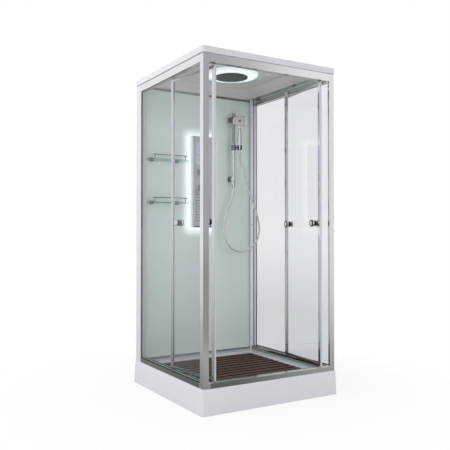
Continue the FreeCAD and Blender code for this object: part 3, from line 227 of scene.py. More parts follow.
hose_curve.use_fill_caps = True
hose_line = hose_curve.splines.new("NURBS")
hose_line.points.add(len(hose_points) - 1)
for point, place in zip(hose_line.points, hose_points):
    point.co = (*place, 1)
    point.radius = hose_thickness / 2
hose_line.order_u = 3
hose_line.use_endpoint_u = True
hose_line.resolution_u = 10
hose = bpy.data.objects.new("hose", hose_curve)
bpy.context.scene.collection.objects.link(hose)
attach(hose, "cabin")
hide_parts("shower_hose")

# %% [markdown]
# ## Floor, walls of light and lamps
# Glass and chrome show little of themselves and much of what stands round them, so the studio is part of the
# picture. The world is white to the camera, to mirrors and through glass, with a soft grey band in front a
# little to the right, which the front faces of the profiles reflect. Lamps are large, so shadows stay soft.

# %% A grey band that the world and the floor share
white, black = (1.0, 1.0, 1.0), (0.0, 0.0, 0.0)
grey_zone = (0.43, 0.45, 0.47)
floor_grey = (0.33, 0.34, 0.32)
zone_way = (0.407, -0.914, 0.0)
zone_start, zone_full = 0.970, 0.995


def grey_band(finish, way):
    toward = finish.vector("DOT_PRODUCT", way, zone_way, "Value")
    return finish.ramp(toward, zone_start, zone_full, kind="SMOOTHSTEP")


print("grey band round", zone_way)

# %% The floor, white to the camera but with its shadow kept
floor_tone, floor_roughness = (0.80, 0.80, 0.80), 0.9
floor_size, floor_drop = 60, 0.001
fade_start, fade_end, near_whiteness = 0.7, 1.8, 0.85
mirror_reach = 2.2
mirrored_white = (1.0, 1.0, 0.97)

ground = Finish("studio_floor", floor_tone, floor_roughness)
distance = ground.vector("LENGTH", ground.place(), output="Value")
whiteness = ground.ramp(distance, fade_start, fade_end, near_whiteness, 1.0, "SMOOTHSTEP")
lit = Wire(ground, ground.shader.outputs[0])
bright = ground.node("Emission", {"Color": tint(white)})
seen = ground.blend(ground.ray("Camera") * whiteness, lit, bright)
lit_share = distance / (distance + mirror_reach)
outward = ground.vector("NORMALIZE", ground.place())
far_look = ground.mix(lit_share, black, mirrored_white)
reflected = ground.node("Emission", {"Color": ground.mix(grey_band(ground, outward), far_look, floor_grey)})
ground.show(ground.blend(ground.ray("Glossy"), seen, reflected))
bpy.ops.mesh.primitive_plane_add(size=floor_size, location=(0, 0, -floor_drop))
floor = bpy.context.object
floor.name = "floor"
floor.data.materials.append(finishes["studio_floor"])
print("floor laid")

# %% The world
world_level = 0.72
world_tone = (0.96, 0.97, 1.0)
dark_zone = (0.06, 0.06, 0.07)
dark_way = (0.97, -0.24, 0.0)
dark_start, dark_full = 0.81, 0.90
world = bpy.data.worlds.new("studio")
bpy.context.scene.world = world
world.use_nodes = True
world.node_tree.nodes.clear()


class Sky(Finish):
    def __init__(self, tree):
        self.tree = tree

    def background(self, colour, strength=1.0):
        return self.node("Background", {"Color": tint(colour), "Strength": strength})


studio = Sky(world.node_tree)
facing = studio.node("TexCoord", output="Generated")
level_way = studio.vector("NORMALIZE", studio.vector("MULTIPLY", facing, (1, 1, 0)))
toward_dark = studio.vector("DOT_PRODUCT", facing, dark_way, "Value")
darkness = studio.ramp(toward_dark, dark_start, dark_full, kind="SMOOTHSTEP")
mirror_look = studio.mix(darkness, studio.mix(grey_band(studio, level_way), white, grey_zone), dark_zone)
lighting = studio.background(world_tone, world_level)
with_mirrors = studio.blend(studio.ray("Glossy"), lighting, studio.background(mirror_look))
straight = studio.ray("Camera").or_more(studio.ray("Transmission"))
output = studio.tree.nodes.new("ShaderNodeOutputWorld")
studio.put(output.inputs["Surface"], studio.blend(straight, with_mirrors, studio.background(white)))
print("world at", world_level)


# %% Soft lamps
def lamp(name, place, aim, size, watts):
    data = bpy.data.lights.new(name, "AREA")
    data.shape = "RECTANGLE"
    data.size, data.size_y = size
    data.energy = watts
    made = bpy.data.objects.new(name, data)
    made.location = place
    made.rotation_euler = (Vector(aim) - Vector(place)).to_track_quat("-Z", "Y").to_euler()
    bpy.context.scene.collection.objects.link(made)
    made.visible_camera = False
    made.visible_glossy = False


lamp("key_left", place=(-4.2, 0.6, 2.4), aim=(0, 0, 1.0), size=(3.0, 3.0), watts=120)
lamp("front_fill", place=(0.8, -4.6, 1.6), aim=(0, 0.3, 1.0), size=(3.0, 2.5), watts=70)
print("lamps set")

# %% [markdown]
# ## The finishes
# Each finish starts from the real material. Moulded acrylic is glossy with a soft unevenness that only shows
# in its highlights. Extruded and polished aluminium has fine lines along its length. Chrome is nearly a
# mirror with a breath of haze. None of them is one flat colour: a slow noise moves the colour a little, and
# a finer one moves the roughness.

# %% Moulded plastic, acrylic and lacquer
cloud_scale, cloud_detail = 3.0, 2.0
fine_scale, fine_swing = 40.0, 0.08
grain_scale, grain_height = 900.0, 0.0004
wave_strength, wave_height = 0.02, 0.01
coat_roughness = 0.08


def moulded(name, colour, roughness, darkest=0.95, coat=0.3, grain=0.0):
    finish = Finish(name, colour, roughness, Coat_Weight=coat, Coat_Roughness=coat_roughness)
    slow = finish.noise(cloud_scale, detail=cloud_detail)
    finish.feed("Base Color", finish.clouded(slow, colour, darkest))
    finish.feed("Roughness", roughness + swing(finish.noise(fine_scale), fine_swing))
    if grain:
        finish.bump(finish.noise(grain_scale, detail=1.0), grain, grain_height)
    else:
        finish.bump(slow, wave_strength, wave_height)


moulded("white_acrylic", (0.655, 0.65, 0.685), 0.16)
moulded("white_plastic", (0.74, 0.73, 0.72), 0.30)
moulded("black_gloss", (0.030, 0.036, 0.055), 0.12)
moulded("spray_grey", (0.60, 0.585, 0.57), 0.32, coat=0.1)
moulded("rain_black", (0.020, 0.030, 0.032), 0.38, coat=0.0)
moulded("hub_grey", (0.15, 0.15, 0.16), 0.40, coat=0.0)
moulded("mark_ink", (0.10, 0.12, 0.17), 0.30, darkest=0.8, coat=0.0)
moulded("black_plastic", (0.018, 0.018, 0.022), 0.38, darkest=0.7, coat=0.0, grain=0.25)
moulded("grey_plastic", (0.28, 0.29, 0.31), 0.40, coat=0.0, grain=0.2)
moulded("black_rubber", (0.045, 0.047, 0.05), 0.55, coat=0.0, grain=0.15)
print("moulded finishes ready")

# %% Metal with drawing lines along it
metal_cloud_scale = 5.0
metal_darkest = 0.90
line_scale, line_strength, line_height = 240.0, 0.05, 0.0006


def metal(name, colour, roughness, lines=(1, 1, 1), haze=0.05, line_swing=0.04):
    finish = Finish(name, colour, roughness, metallic=1.0)
    drawn = finish.noise(line_scale, stretch=lines, detail=2.0)
    cloud = finish.noise(metal_cloud_scale)
    finish.feed("Base Color", finish.clouded(cloud, colour, metal_darkest))
    finish.feed("Roughness", roughness + swing(cloud, haze) + swing(drawn, line_swing))
    finish.bump(drawn, line_strength, line_height)


metal("upright_metal", (0.79, 0.79, 0.81), 0.14, lines=(1, 1, 0.01))
metal("satin_silver", (0.73, 0.73, 0.74), 0.30, lines=(1, 1, 0.02), line_swing=0.10)
metal("steel", (0.55, 0.56, 0.58), 0.32, haze=0.15)
metal("dark_steel", (0.10, 0.11, 0.14), 0.35, haze=0.15)
metal("brass", (0.60, 0.45, 0.20), 0.30, haze=0.15)
metal("chrome", (0.78, 0.79, 0.81), 0.06, line_swing=0.01)
# painted reflection: dark_chrome and the spool chrome below are chrome whose dark colour stands for mirrored
# dark surroundings
metal("dark_chrome", (0.22, 0.23, 0.25), 0.10, line_swing=0.02)
metal("spool_chrome_painted_dark", (0.055, 0.055, 0.06), 0.16, line_swing=0.02)
metal("plated_plastic", (0.80, 0.80, 0.83), 0.09, line_swing=0.01)
print("metal finishes ready")

# %% [markdown]
# Rails and roof look different from inside and outside, and the front foot runs from dark to pale, because
# each side mirrors another part of a room. The studio is plainer than a room, so these reflections and this
# light are painted into the finish: it reads its own place in the cabin and changes its tone there.

# %% Finishes with painted reflection and light inside the cabin
frame_cloud_scale, frame_haze = 5.0, 0.05
inner_darkest, outer_darkest = 0.93, 0.95


def outside_of(finish, half):
    """0 within a square column of space round the middle, 1 outside it."""
    reach = finish.vector("ABSOLUTE", finish.place())
    return finish.stepped(finish.axis("X", reach).or_more(finish.axis("Y", reach)), half)


def with_painted_inside_light(name, painted_inner, outer, half, roughness, metallic=0.0):
    finish = Finish(name, outer, roughness, metallic=metallic)
    cloud = finish.noise(frame_cloud_scale)
    within = finish.clouded(cloud, painted_inner, inner_darkest)
    without = finish.clouded(cloud, outer, outer_darkest)
    # painted reflection and light: the tone inside the cabin is darker on the rails and warmer on the roof
    # than outside
    finish.feed("Base Color", finish.mix(outside_of(finish, half), within, without))
    finish.feed("Roughness", roughness + swing(cloud, frame_haze))
    finish.bump(cloud, wave_strength, wave_height)


with_painted_inside_light("rail_metal_painted_inside", (0.36, 0.36, 0.34), (0.79, 0.79, 0.81), 0.480, 0.14, metallic=1.0)
with_painted_inside_light("roof_acrylic_painted_inside", (0.67, 0.65, 0.62), (0.60, 0.595, 0.625), 0.470, 0.26)
print("two-faced finishes ready")

# %% Painted reflection on the feet: the front foot goes from dark on the left to pale on the right, and the others are painted dark
dark, pale = (0.30, 0.33, 0.32), (0.72, 0.73, 0.71)
others_painted_darker, others_painted_lighter = (0.34, 0.37, 0.35), (0.38, 0.41, 0.39)
roughness = 0.12
left_end, right_end, foot_width = -0.30, 0.25, 0.045
# painted reflection: these tones stand for what the feet mirror, dark on the left and on the other feet, pale
# on the right
finish = Finish("foot_metal_painted_reflection", dark, roughness, metallic=1.0)
cloud = finish.noise(frame_cloud_scale)
front = finish.mix(finish.ramp(finish.axis("X"), left_end, right_end), dark, pale)
others = finish.mix(cloud, others_painted_darker, others_painted_lighter)
behind = finish.stepped(finish.axis("Y"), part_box("bottom_rails")[0].y + foot_width)
finish.feed("Base Color", finish.mix(behind, front, others))
finish.feed("Roughness", roughness + swing(cloud, frame_haze))
finish.bump(cloud, wave_strength, wave_height)
print("foot finish ready")


# %% Chrome with a painted dark reflection at its rims
def facing_share(finish):
    """0 where a surface faces the eye, 1 at its rim."""
    return finish.node("LayerWeight", {"Blend": 0.5}, "Facing")


def chrome_with_painted_rims(name, centre, rim, start, full):
    """Round chrome gets a painted dark reflection at its rims, for the dark end of the studio, which is what
    draws its outline.
    """
    roughness, haze_scale, haze = 0.08, 30.0, 0.04
    finish = Finish(name, centre, roughness, metallic=1.0)
    share = finish.ramp(facing_share(finish), start, full, kind="SMOOTHSTEP")
    # painted reflection: the rim colour is painted in, darker towards the rims
    finish.feed("Base Color", finish.mix(share, centre, rim))
    finish.feed("Roughness", roughness + swing(finish.noise(haze_scale, detail=2.0), haze))


chrome_with_painted_rims("knob_chrome_painted_rim", (0.86, 0.86, 0.88), (0.03, 0.03, 0.035), 0.55, 0.80)
chrome_with_painted_rims("tube_chrome_painted_rim", (0.74, 0.74, 0.76), (0.08, 0.08, 0.09), 0.22, 0.60)
chrome_with_painted_rims("head_chrome_painted_rim", (0.74, 0.74, 0.77), (0.06, 0.06, 0.07), 0.30, 0.66)
print("edged chrome ready")

# %% [markdown]
# ## Glass, seals and wood
# Clear glass is a see-through shader with a mirror over it. The mirror is faint where one looks straight at
# the pane and grows strong at a slant, and smudges vary it. The back wall is glass too, painted on its far
# side. The light that the lit ring behind the column casts on it is painted light: a glow painted into the
# wall that fades with the distance from the column.

# %% Clear glass that lets the lamps through
gloss_roughness = 0.02
straight_shine, slant_shine, slant_power = 0.025, 0.6, 5
smudge_scale, least_shine, smudge_shine = 4.0, 0.85, 0.3
darkening_top, darkening_end = 0.95, 0.49


def darker_low_on_right(finish, see, foot):
    """On the right side the glass is darker low down."""
    darker_see = finish.node("BsdfTransparent", {"Color": tint(foot)})
    above = finish.ramp(finish.axis("Z"), darkening_end, darkening_top)
    left = finish.node("Math", {0: finish.axis("X"), 1: 0.0}, operation="LESS_THAN")
    return finish.blend(above.or_more(left), darker_see, see)


def clear(name, colour, foot=None):
    finish = Finish(name, colour, gloss_roughness)
    see = finish.node("BsdfTransparent", {"Color": tint(colour)})
    if foot:
        see = darker_low_on_right(finish, see, foot)
    gloss = finish.node("BsdfGlossy", {"Color": tint(white), "Roughness": gloss_roughness})
    smudge = least_shine + finish.noise(smudge_scale, detail=4.0) * smudge_shine
    share = (straight_shine + facing_share(finish) ** slant_power * slant_shine) * smudge
    finish.show(finish.blend(share, see, gloss))
    finish.tree.nodes.remove(finish.shader)


clear("clear_glass", (0.985, 0.988, 0.99))
clear("pane_glass", (0.905, 0.914, 0.930), foot=(0.81, 0.82, 0.836))
clear("shelf_glass", (0.80, 0.90, 0.86))
print("glass ready")

# %% Sage glass of the back wall, with painted light round the column
plain, pale, dim, glow = (0.46, 0.52, 0.47), (0.72, 0.81, 0.755), (0.67, 0.755, 0.70), (0.66, 0.73, 0.70)
wall_cloud_scale, wall_fine_scale, wall_roughness, wall_haze = 1.2, 30.0, 0.22, 0.05
glow_start, glow_end = -0.01, 0.10
skin_start, skin_end = 0.0005, 0.0015
finish = Finish("sage_glass_painted_glow", plain, 0.10, Coat_Weight=1.0, Coat_Roughness=0.03, Emission_Strength=1.0)
finish.feed("Base Color", finish.mix(finish.noise(wall_cloud_scale, detail=2.0), dim, pale))
finish.feed("Roughness", wall_roughness + swing(finish.noise(wall_fine_scale), wall_haze))
low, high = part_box("column_glow")
middle = (low + high) / 2
half = (high - low) / 2
half.y = 1.0
# painted light: the glow colour, painted as emission on the wall's front, fading with the distance from the
# column
apart = finish.vector("ABSOLUTE", finish.vector("SUBTRACT", finish.place(), middle))
apart = finish.vector("MAXIMUM", finish.vector("SUBTRACT", apart, half))
distance = finish.vector("LENGTH", apart, output="Value")
painted_halo = finish.ramp(distance, glow_start, glow_end, 1.0, 0.0, "SMOOTHERSTEP")
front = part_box("back_panel")[0].y
on_front = finish.ramp(finish.axis("Y"), front + skin_start, front + skin_end, 1.0, 0.0)
finish.feed("Emission Color", finish.mix(painted_halo * on_front, black, glow))
print("wall finish ready")

# %% Soft seals
dull, plain, pale = (0.62, 0.64, 0.66), (0.70, 0.72, 0.74), (0.74, 0.76, 0.78)
seal_cloud_scale, along_seal = 20.0, (1, 1, 0.1)
finish = Finish("clear_seal", plain, 0.35, Transmission_Weight=0.3)
slow = finish.noise(seal_cloud_scale, stretch=along_seal)
finish.feed("Base Color", finish.mix(slow, dull, pale))
finish.feed("Roughness", 0.30 + slow * 0.15)
print("seal ready")

# %% Wood: brown on top, and nearly black in the gaps between the boards, where the shade is painted
gap_painted_shade, plain = (0.003, 0.002, 0.002), (0.05, 0.03, 0.025)
umber, pale_brown = (0.060, 0.032, 0.022), (0.145, 0.082, 0.058)
board_scale, fibre_scale, pore_scale = 2.2, 90.0, 420.0
fibre_share, board_share, tone_drop = 0.7, 0.6, 0.15
shade_ends_below, shade_full_below = 0.0001, 0.0007
finish = Finish("slat_wood_painted_gaps", plain, 0.6, Specular_IOR_Level=0.05)
tone = finish.noise(board_scale, stretch=(0.5, 8.0, 1), detail=1.0)
fibres = finish.noise(fibre_scale, stretch=(0.04, 1, 1), detail=5.0)
pores = finish.noise(pore_scale, stretch=(0.02, 1, 1), detail=2.0)
wood = finish.mix(fibres * fibre_share + tone * board_share - tone_drop, umber, pale_brown)
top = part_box("floor_slats")[1].z
# painted shade: the board sides below the top turn nearly black, for the shade in the gaps
top_unshaded = finish.ramp(finish.axis("Z"), top - shade_full_below, top - shade_ends_below)
finish.feed("Base Color", finish.mix(top_unshaded, gap_painted_shade, wood))
finish.feed("Roughness", 0.40 + pores * 0.22)
finish.bump(fibres * 0.5 + pores * 0.5, 0.25, 0.0015)
print("wood ready")

# %% Things that glow
lamp_roughness = 0.35
least_roughness, roughness_swing = 0.30, 0.1
lamp_cloud_scale, lamp_darkest = 6.0, 0.93


def glowing(name, colour, strength, base):
    finish = Finish(name, base, lamp_roughness, Emission_Strength=strength)
    soft = finish.noise(lamp_cloud_scale, detail=2.0)
    finish.feed("Emission Color", finish.clouded(soft, colour, lamp_darkest))
    finish.feed("Roughness", least_roughness + soft * roughness_swing)


glowing("glow_diffuser", (0.96, 1.0, 0.98), 7.0, (0.75, 0.83, 0.85))
glowing("display_glass", (0.52, 0.62, 0.84), 0.22, (0.38, 0.42, 0.47))
glowing("screen_blue", (0.20, 0.34, 1.0), 0.9, (0.10, 0.14, 0.35))
print("glowing finishes ready")

# %% The lit disc is brightest round the rain head, where its lamps are, and greyer towards its rim
plain, bright, dull = (0.74, 0.79, 0.80), (0.66, 0.72, 0.70), (0.40, 0.45, 0.45)
bright_radius, dull_radius = 0.120, 0.185
finish = Finish("light_diffuser", plain, lamp_roughness, Emission_Strength=1.0)
radius = finish.vector("LENGTH", finish.vector("MULTIPLY", finish.place(), (1, 1, 0)), output="Value")
outward = finish.ramp(radius, bright_radius, dull_radius, kind="SMOOTHSTEP")
finish.feed("Emission Color", finish.mix(outward, bright, dull))
soft = finish.noise(lamp_cloud_scale, detail=2.0)
finish.feed("Roughness", least_roughness + soft * roughness_swing)
print("finish of the lit disc ready")

# %% Back posts: painted shade on the left, a white cover strip on the right between two dark lines that are gaskets and painted shade in the corner
gasket_and_painted_shade, sealant = (0.06, 0.065, 0.07), (0.60, 0.68, 0.63)
gasket_y, sealant_y, gasket_x, outer_strip_x = 0.4465, 0.4525, 0.4515, 0.4615
finish = Finish("post_lacquer_painted_shade", (0.9, 0.9, 0.92), 0.30, Coat_Weight=0.3, Coat_Roughness=0.10)
along_x, along_y = finish.axis("X"), finish.axis("Y")
cloud = finish.noise(6.0, detail=2.0)
# painted shade: the left post is darker, and the dark lines at the right post's corner are gaskets with
# painted shade
left_painted_shade = finish.mix(cloud, (0.50, 0.50, 0.51), (0.56, 0.56, 0.57))
strip = finish.mix(cloud, (0.92, 0.93, 0.97), (0.97, 0.98, 1.0))
tone = finish.mix(finish.stepped(along_y, gasket_y), strip, gasket_and_painted_shade)
tone = finish.mix(finish.stepped(along_y, sealant_y), tone, sealant)
tone = finish.mix(finish.stepped(along_x, gasket_x), tone, gasket_and_painted_shade)
tone = finish.mix(finish.stepped(along_x, outer_strip_x), tone, strip)
finish.feed("Base Color", finish.mix(finish.stepped(along_x, 0.0), left_painted_shade, tone))
finish.feed("Roughness", 0.26 + cloud * 0.08)
finish.bump(cloud, wave_strength, wave_height)
print("post finish ready")

# %% The hose's ribbed strip, wound from metal: its own map runs along it, and a sine makes the ribs, with painted highlights on them and painted shade in the grooves
plain, groove_painted_shade, rib_painted_highlight = (0.66, 0.66, 0.67), (0.60, 0.59, 0.58), (0.94, 0.93, 0.91)
rib_count = 420
finish = Finish("ribbed_hose_painted_light", plain, 0.16, metallic=1.0)
along_hose = finish.axis("X", finish.node("TexCoord", output="UV"))
wave = finish.node("Math", {0: along_hose * (rib_count * 2 * math.pi)}, operation="SINE")
rib = 0.5 + wave * 0.5
# painted highlights on the ribs and painted shade in the grooves
finish.feed("Base Color", finish.mix(rib, groove_painted_shade, rib_painted_highlight))
finish.feed("Roughness", 0.24 - rib * 0.12)
finish.bump(rib, 0.5, 0.0008)
hose.data.materials.append(finishes["ribbed_hose_painted_light"])
print("hose ribs set")

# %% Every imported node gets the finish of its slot's name, unless the lists say another
finish_of_slot = {
    "dark_wood": "slat_wood_painted_gaps", "green_glass": "sage_glass_painted_glow", "bright_aluminium": "upright_metal",
    "chrome_tube": "chrome", "chrome_plastic": "plated_plastic", "silver_hose": "plated_plastic",
}
finish_of_node = {
    "bottom_rails": "foot_metal_painted_reflection", "top_rails": "rail_metal_painted_inside", "back_posts": "post_lacquer_painted_shade",
    "shelf_glasses": "shelf_glass", "side_panes": "pane_glass", "roof_shell": "roof_acrylic_painted_inside",
    "glazing_beads": "black_rubber",
}
for corner in ("rear_left", "front_left", "rear_right", "front_right"):
    finish_of_node["carriage_" + corner] = "spray_grey"
slot_of_node = {part["node"]: part["material_slot"] for part in frame["record"]["subparts"]}
for name, node in nodes.items():
    slot_name = slot_of_node[name]
    finish_name = finish_of_node.get(name, finish_of_slot.get(slot_name, slot_name))
    for slot in node.material_slots:
        slot.material = finishes[finish_name]
print("finishes on", len(nodes), "nodes")

# %% [markdown]
# ## Modelling as by hand
# Most fittings on this cabin are round: knobs, discs, wheels and the shower head. A round piece is made the
# way a turner works, ring after ring. It starts as a filled circle, and each step extrudes the top face and
# scales it to the next radius. Outlines are noted in millimetres, as on a workshop drawing. Everything is
# deselected before each piece, because an operator acts on all that is selected.

# %% Choosing, placing, copying and joining pieces
upward, backward, forward = (0, 0, 1), (0, 1, 0), (0, -1, 0)


def only(piece=None):
    """Leaves edit mode and selects one piece or nothing."""
    if bpy.context.object and bpy.context.object.mode == "EDIT":
        bpy.ops.object.mode_set(mode="OBJECT")
    bpy.ops.object.select_all(action="DESELECT")
    if piece:
        piece.select_set(True)
        bpy.context.view_layer.objects.active = piece


def apply_place():
    bpy.ops.object.transform_apply(location=True, rotation=True, scale=True)


def settle(piece, place=(0, 0, 0), way=upward, spin=0.0):
    """Turns what was up to a way, moves it to its place and keeps that in the mesh."""
    only(piece)
    turn = Vector(upward).rotation_difference(Vector(way)).to_matrix().to_4x4()
    spun = Matrix.Rotation(spin, 4, "Z") @ piece.matrix_world
    piece.matrix_world = Matrix.Translation(place) @ turn @ spun
    apply_place()
    return piece


def copies(piece, places, way=upward):
    """A copy at every place, which together stand for the piece."""
    made = []
    for place in places:
        twin = piece.copy()
        twin.data = piece.data.copy()
        bpy.context.scene.collection.objects.link(twin)
        made.append(settle(twin, place, way))
    bpy.data.objects.remove(piece)
    return made


def joined(pieces, name):
    only(pieces[0])
    for piece in pieces:
        piece.select_set(True)
    if len(pieces) > 1:
        bpy.ops.object.join()
    pieces[0].name = name
    return pieces[0]


def dress(pieces, name, finish, body, *stands_for, slot, crease=35):
    """Joins the pieces, smooths them up to a crease angle, and gives them a finish and a body to ride on."""
    piece = joined(pieces, name)
    bpy.ops.object.shade_smooth_by_angle(angle=math.radians(crease))
    piece.data.materials.clear()
    piece.data.materials.append(finishes[finish])
    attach(piece, body)
    if stands_for:
        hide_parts(*stands_for)
    return piece


# %% Turning a round piece, ring after ring
def ringed(name, rings, sides):
    """Rings are (radius, centre), all level, from the foot to the top, and both ends are closed by a face."""
    only()
    radius, centre = rings[0]
    bpy.ops.mesh.primitive_circle_add(vertices=sides, radius=radius, fill_type="NGON", location=centre)
    piece = bpy.context.object
    apply_place()
    bpy.ops.object.mode_set(mode="EDIT")
    bpy.ops.mesh.select_all(action="SELECT")
    for next_radius, next_centre in rings[1:]:
        bpy.ops.mesh.extrude_region_move(TRANSFORM_OT_translate={"value": next_centre - centre})
        share = next_radius / radius
        bpy.ops.transform.resize(value=(share, share, 1), center_override=next_centre)
        radius, centre = next_radius, next_centre
    bpy.ops.mesh.select_all(action="SELECT")
    bpy.ops.mesh.normals_make_consistent(inside=False)
    bpy.ops.object.mode_set(mode="OBJECT")
    piece.name = name
    return piece


def turned(name, outline, sides=48, place=(0, 0, 0), way=upward):
    """An outline is (radius, height) from the foot to the top."""
    rings = [(radius, Vector((0, 0, height))) for radius, height in outline]
    return settle(ringed(name, rings, sides), place, way)


def mm(outline):
    return [(radius / 1000, height / 1000) for radius, height in outline]


def round_steps(count, first):
    """The angles of equal steps round a circle. The first angle is given as a share of a step."""
    return [2 * math.pi * (i + first) / count for i in range(count)]


# %% A block, a rounded edge and a bar
def soften(piece, width, steps=3, angle=30):
    only(piece)
    bevel = piece.modifiers.new("soft edges", "BEVEL")
    bevel.width = width
    bevel.segments = steps
    bevel.limit_method = "ANGLE"
    bevel.angle_limit = math.radians(angle)
    bpy.ops.object.modifier_apply(modifier=bevel.name)
    return piece


def block(name, low, high, round_by=0.0, steps=3):
    """A cube primitive scaled to a box, its edges bevelled."""
    only()
    low, high = Vector(low), Vector(high)
    bpy.ops.mesh.primitive_cube_add(size=1, location=(low + high) / 2)
    piece = bpy.context.object
    piece.name = name
    piece.scale = high - low
    apply_place()
    return soften(piece, round_by, steps) if round_by else piece


def bar(name, start, end, radius, sides=24):
    """A round bar from point to point, its ends bevelled by a tenth of its radius."""
    start, end = Vector(start), Vector(end)
    length = (end - start).length
    lip = radius * 0.1
    outline = [(radius - lip, 0), (radius, lip), (radius, length - lip), (radius - lip, length)]
    return turned(name, outline, sides, start, end - start)


print("modelling helpers ready")

# %% [markdown]
# ## The lit disc and the rain head
# The disc in the ceiling is an acrylic diffuser with a lamp behind it: bright, soft at its rim and a little
# greenish. The rain head hangs just below it, a thin dark plate with rings of soft spray tips that can be
# rubbed clean of scale. The tips are small, so one is modelled and copied.

# %% The lit disc
light_low, light_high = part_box("light_disc")
light_radius = (light_high.x - light_low.x) / 2
light_outline = [
    (light_radius, light_high.z - light_low.z), (light_radius, 0.006), (light_radius - 0.002, 0.003),
    (light_radius - 0.006, 0.0005), (light_radius - 0.012, 0), (light_radius - 0.030, 0.0015),
    (0.118, 0.0025), (0.02, 0.0025),
]
disc = turned("disc", light_outline, 96, (0, 0, light_low.z))
dress([disc], "lit_disc", "light_diffuser", "cabin", "light_disc", slot="light_diffuser", crease=50)
print("lit disc radius", round(light_radius, 3))

# %% The rain head with its spray tips
tip_rings, tips_per_ring, tip_margin = 7, 6, 0.012
rain_low, rain_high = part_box("rain_head")
rain_radius = (rain_high.x - rain_low.x) / 2
plate_outline = [
    (0.012, rain_high.z - rain_low.z), (0.012, 0.0125), (0.024, 0.0085), (rain_radius - 0.003, 0.008),
    (rain_radius, 0.0065), (rain_radius, 0.0028), (rain_radius - 0.0015, 0.0016),
    (rain_radius - 0.004, 0.0012), (0.02, 0.0012),
]
plate = turned("plate", plate_outline, 96, (0, 0, rain_low.z))
tip = turned("tip", mm([(2.6, 1.4), (2.4, 0.4), (1.5, 0)]), 8)
tip_places = []
for ring_number in range(1, tip_rings + 1):
    reach = ring_number * (rain_radius - tip_margin) / tip_rings
    for angle in round_steps(tips_per_ring * ring_number, 0.5 * (ring_number % 2)):
        tip_places.append((reach * math.cos(angle), reach * math.sin(angle), rain_low.z))
dress(copies(tip, tip_places), "rain_tips", "grey_plastic", "cabin", slot="grey_plastic")
dress([plate], "rain_plate", "rain_black", "cabin", "rain_head", slot="black_gloss")
print("rain head with", len(tip_places), "tips")

# %% [markdown]
# ## The slatted floor
# The deck is made of eleven milled boards on four battens. Their bevelled edges and the dark gaps between
# them are what shows from a step away. One board is bevelled, and the others are copies of it at their own
# places.

# %% One board, copied over the deck
board_count, board_gap, board_thickness, board_bevel = 11, 0.0135, 0.018, 0.005
batten_half_width, batten_inset, batten_bevel = 0.015, 0.052, 0.0015
batten_places = (-1.0, -0.3, 0.3, 1.0)
deck_low, deck_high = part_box("floor_slats")
pitch = (deck_high.y - deck_low.y + board_gap) / board_count
board_width = pitch - board_gap
half_length = (deck_high.x - deck_low.x) / 2
board = block("board", (-half_length, 0, -board_thickness), (half_length, board_width, 0), board_bevel, 2)
boards = copies(board, [(0, deck_low.y + i * pitch, deck_high.z) for i in range(board_count)])
batten_reach = (deck_high.y - deck_low.y - board_width) / 2
for share in batten_places:
    x = share * (half_length - batten_inset)
    low = (x - batten_half_width, -batten_reach, deck_low.z)
    high = (x + batten_half_width, batten_reach, deck_high.z - board_thickness)
    boards.append(block("batten", low, high, batten_bevel, 2))
dress(boards, "deck", "slat_wood_painted_gaps", "cabin", "floor_slats", slot="dark_wood")
print("deck of", board_count, "boards", round(board_width, 4), "m wide")

# %% [markdown]
# ## The door knobs
# A leaf is pulled by a round knob on each stile. From the room one sees a polished disc on a short waisted
# stem, painted dark as the reflection of dark surroundings, and on the leaf's other side a flat head almost
# as wide. A real turned knob has small rounded edges that catch a line of light, so the outline gets an
# extra ring at each edge, and bright rings over the dark disc paint its highlights.

# %% Outlines of a knob, of the bright rings that paint its highlights and of its cap, and the place of a knob on a leaf
knob_outline = mm([
    (17, 0), (18.2, 0.6), (18.6, 1.8), (18.6, 7), (18, 8.4), (15, 9.4), (12.8, 11), (12.2, 14),
    (12.6, 18), (15, 20.8), (20, 22.2), (21.2, 23.2), (21.6, 24.6), (21.6, 32.6), (21, 34.2),
    (19.8, 35), (17.6, 35), (16.8, 34.3), (15.8, 34.3), (15, 34.8), (4, 35),
])
head_of_knob = mm([
    (11.8, 0), (11.8, 3), (15, 4.2), (19.6, 4.8), (20.4, 5.8), (20.6, 6.8), (20.6, 11.2), (20, 12.2),
    (18.8, 12.7), (4, 12.8),
])
highlight_band_outline = mm([(21.2, 20.4), (22, 21.1), (22, 28.8), (21.4, 29.4)])
highlight_inlay_outline = mm([(15, 34), (15, 35.1), (14.2, 35.5), (4, 35.6)])
knob_height = 1.108
leaf_turn = math.radians(7.1)
leaf_span = 0.4285
pane_half = 0.0025
track_line = 0.450
knob_from_pivot = 0.046


def leaf_place(side, from_pivot, out):
    """A point on a leaf and its way out: side -1 is the left leaf, out is towards the middle of the cabin."""
    run = Vector((math.sin(leaf_turn), -math.cos(leaf_turn), 0))
    inward = Vector((math.cos(leaf_turn), math.sin(leaf_turn), 0))
    pivot = Vector((-track_line, -track_line + leaf_span * math.cos(leaf_turn), knob_height))
    point = pivot + run * from_pivot + inward * out
    return Vector((-side * point.x, point.y, point.z)), Vector((-side * inward.x, inward.y, 0))


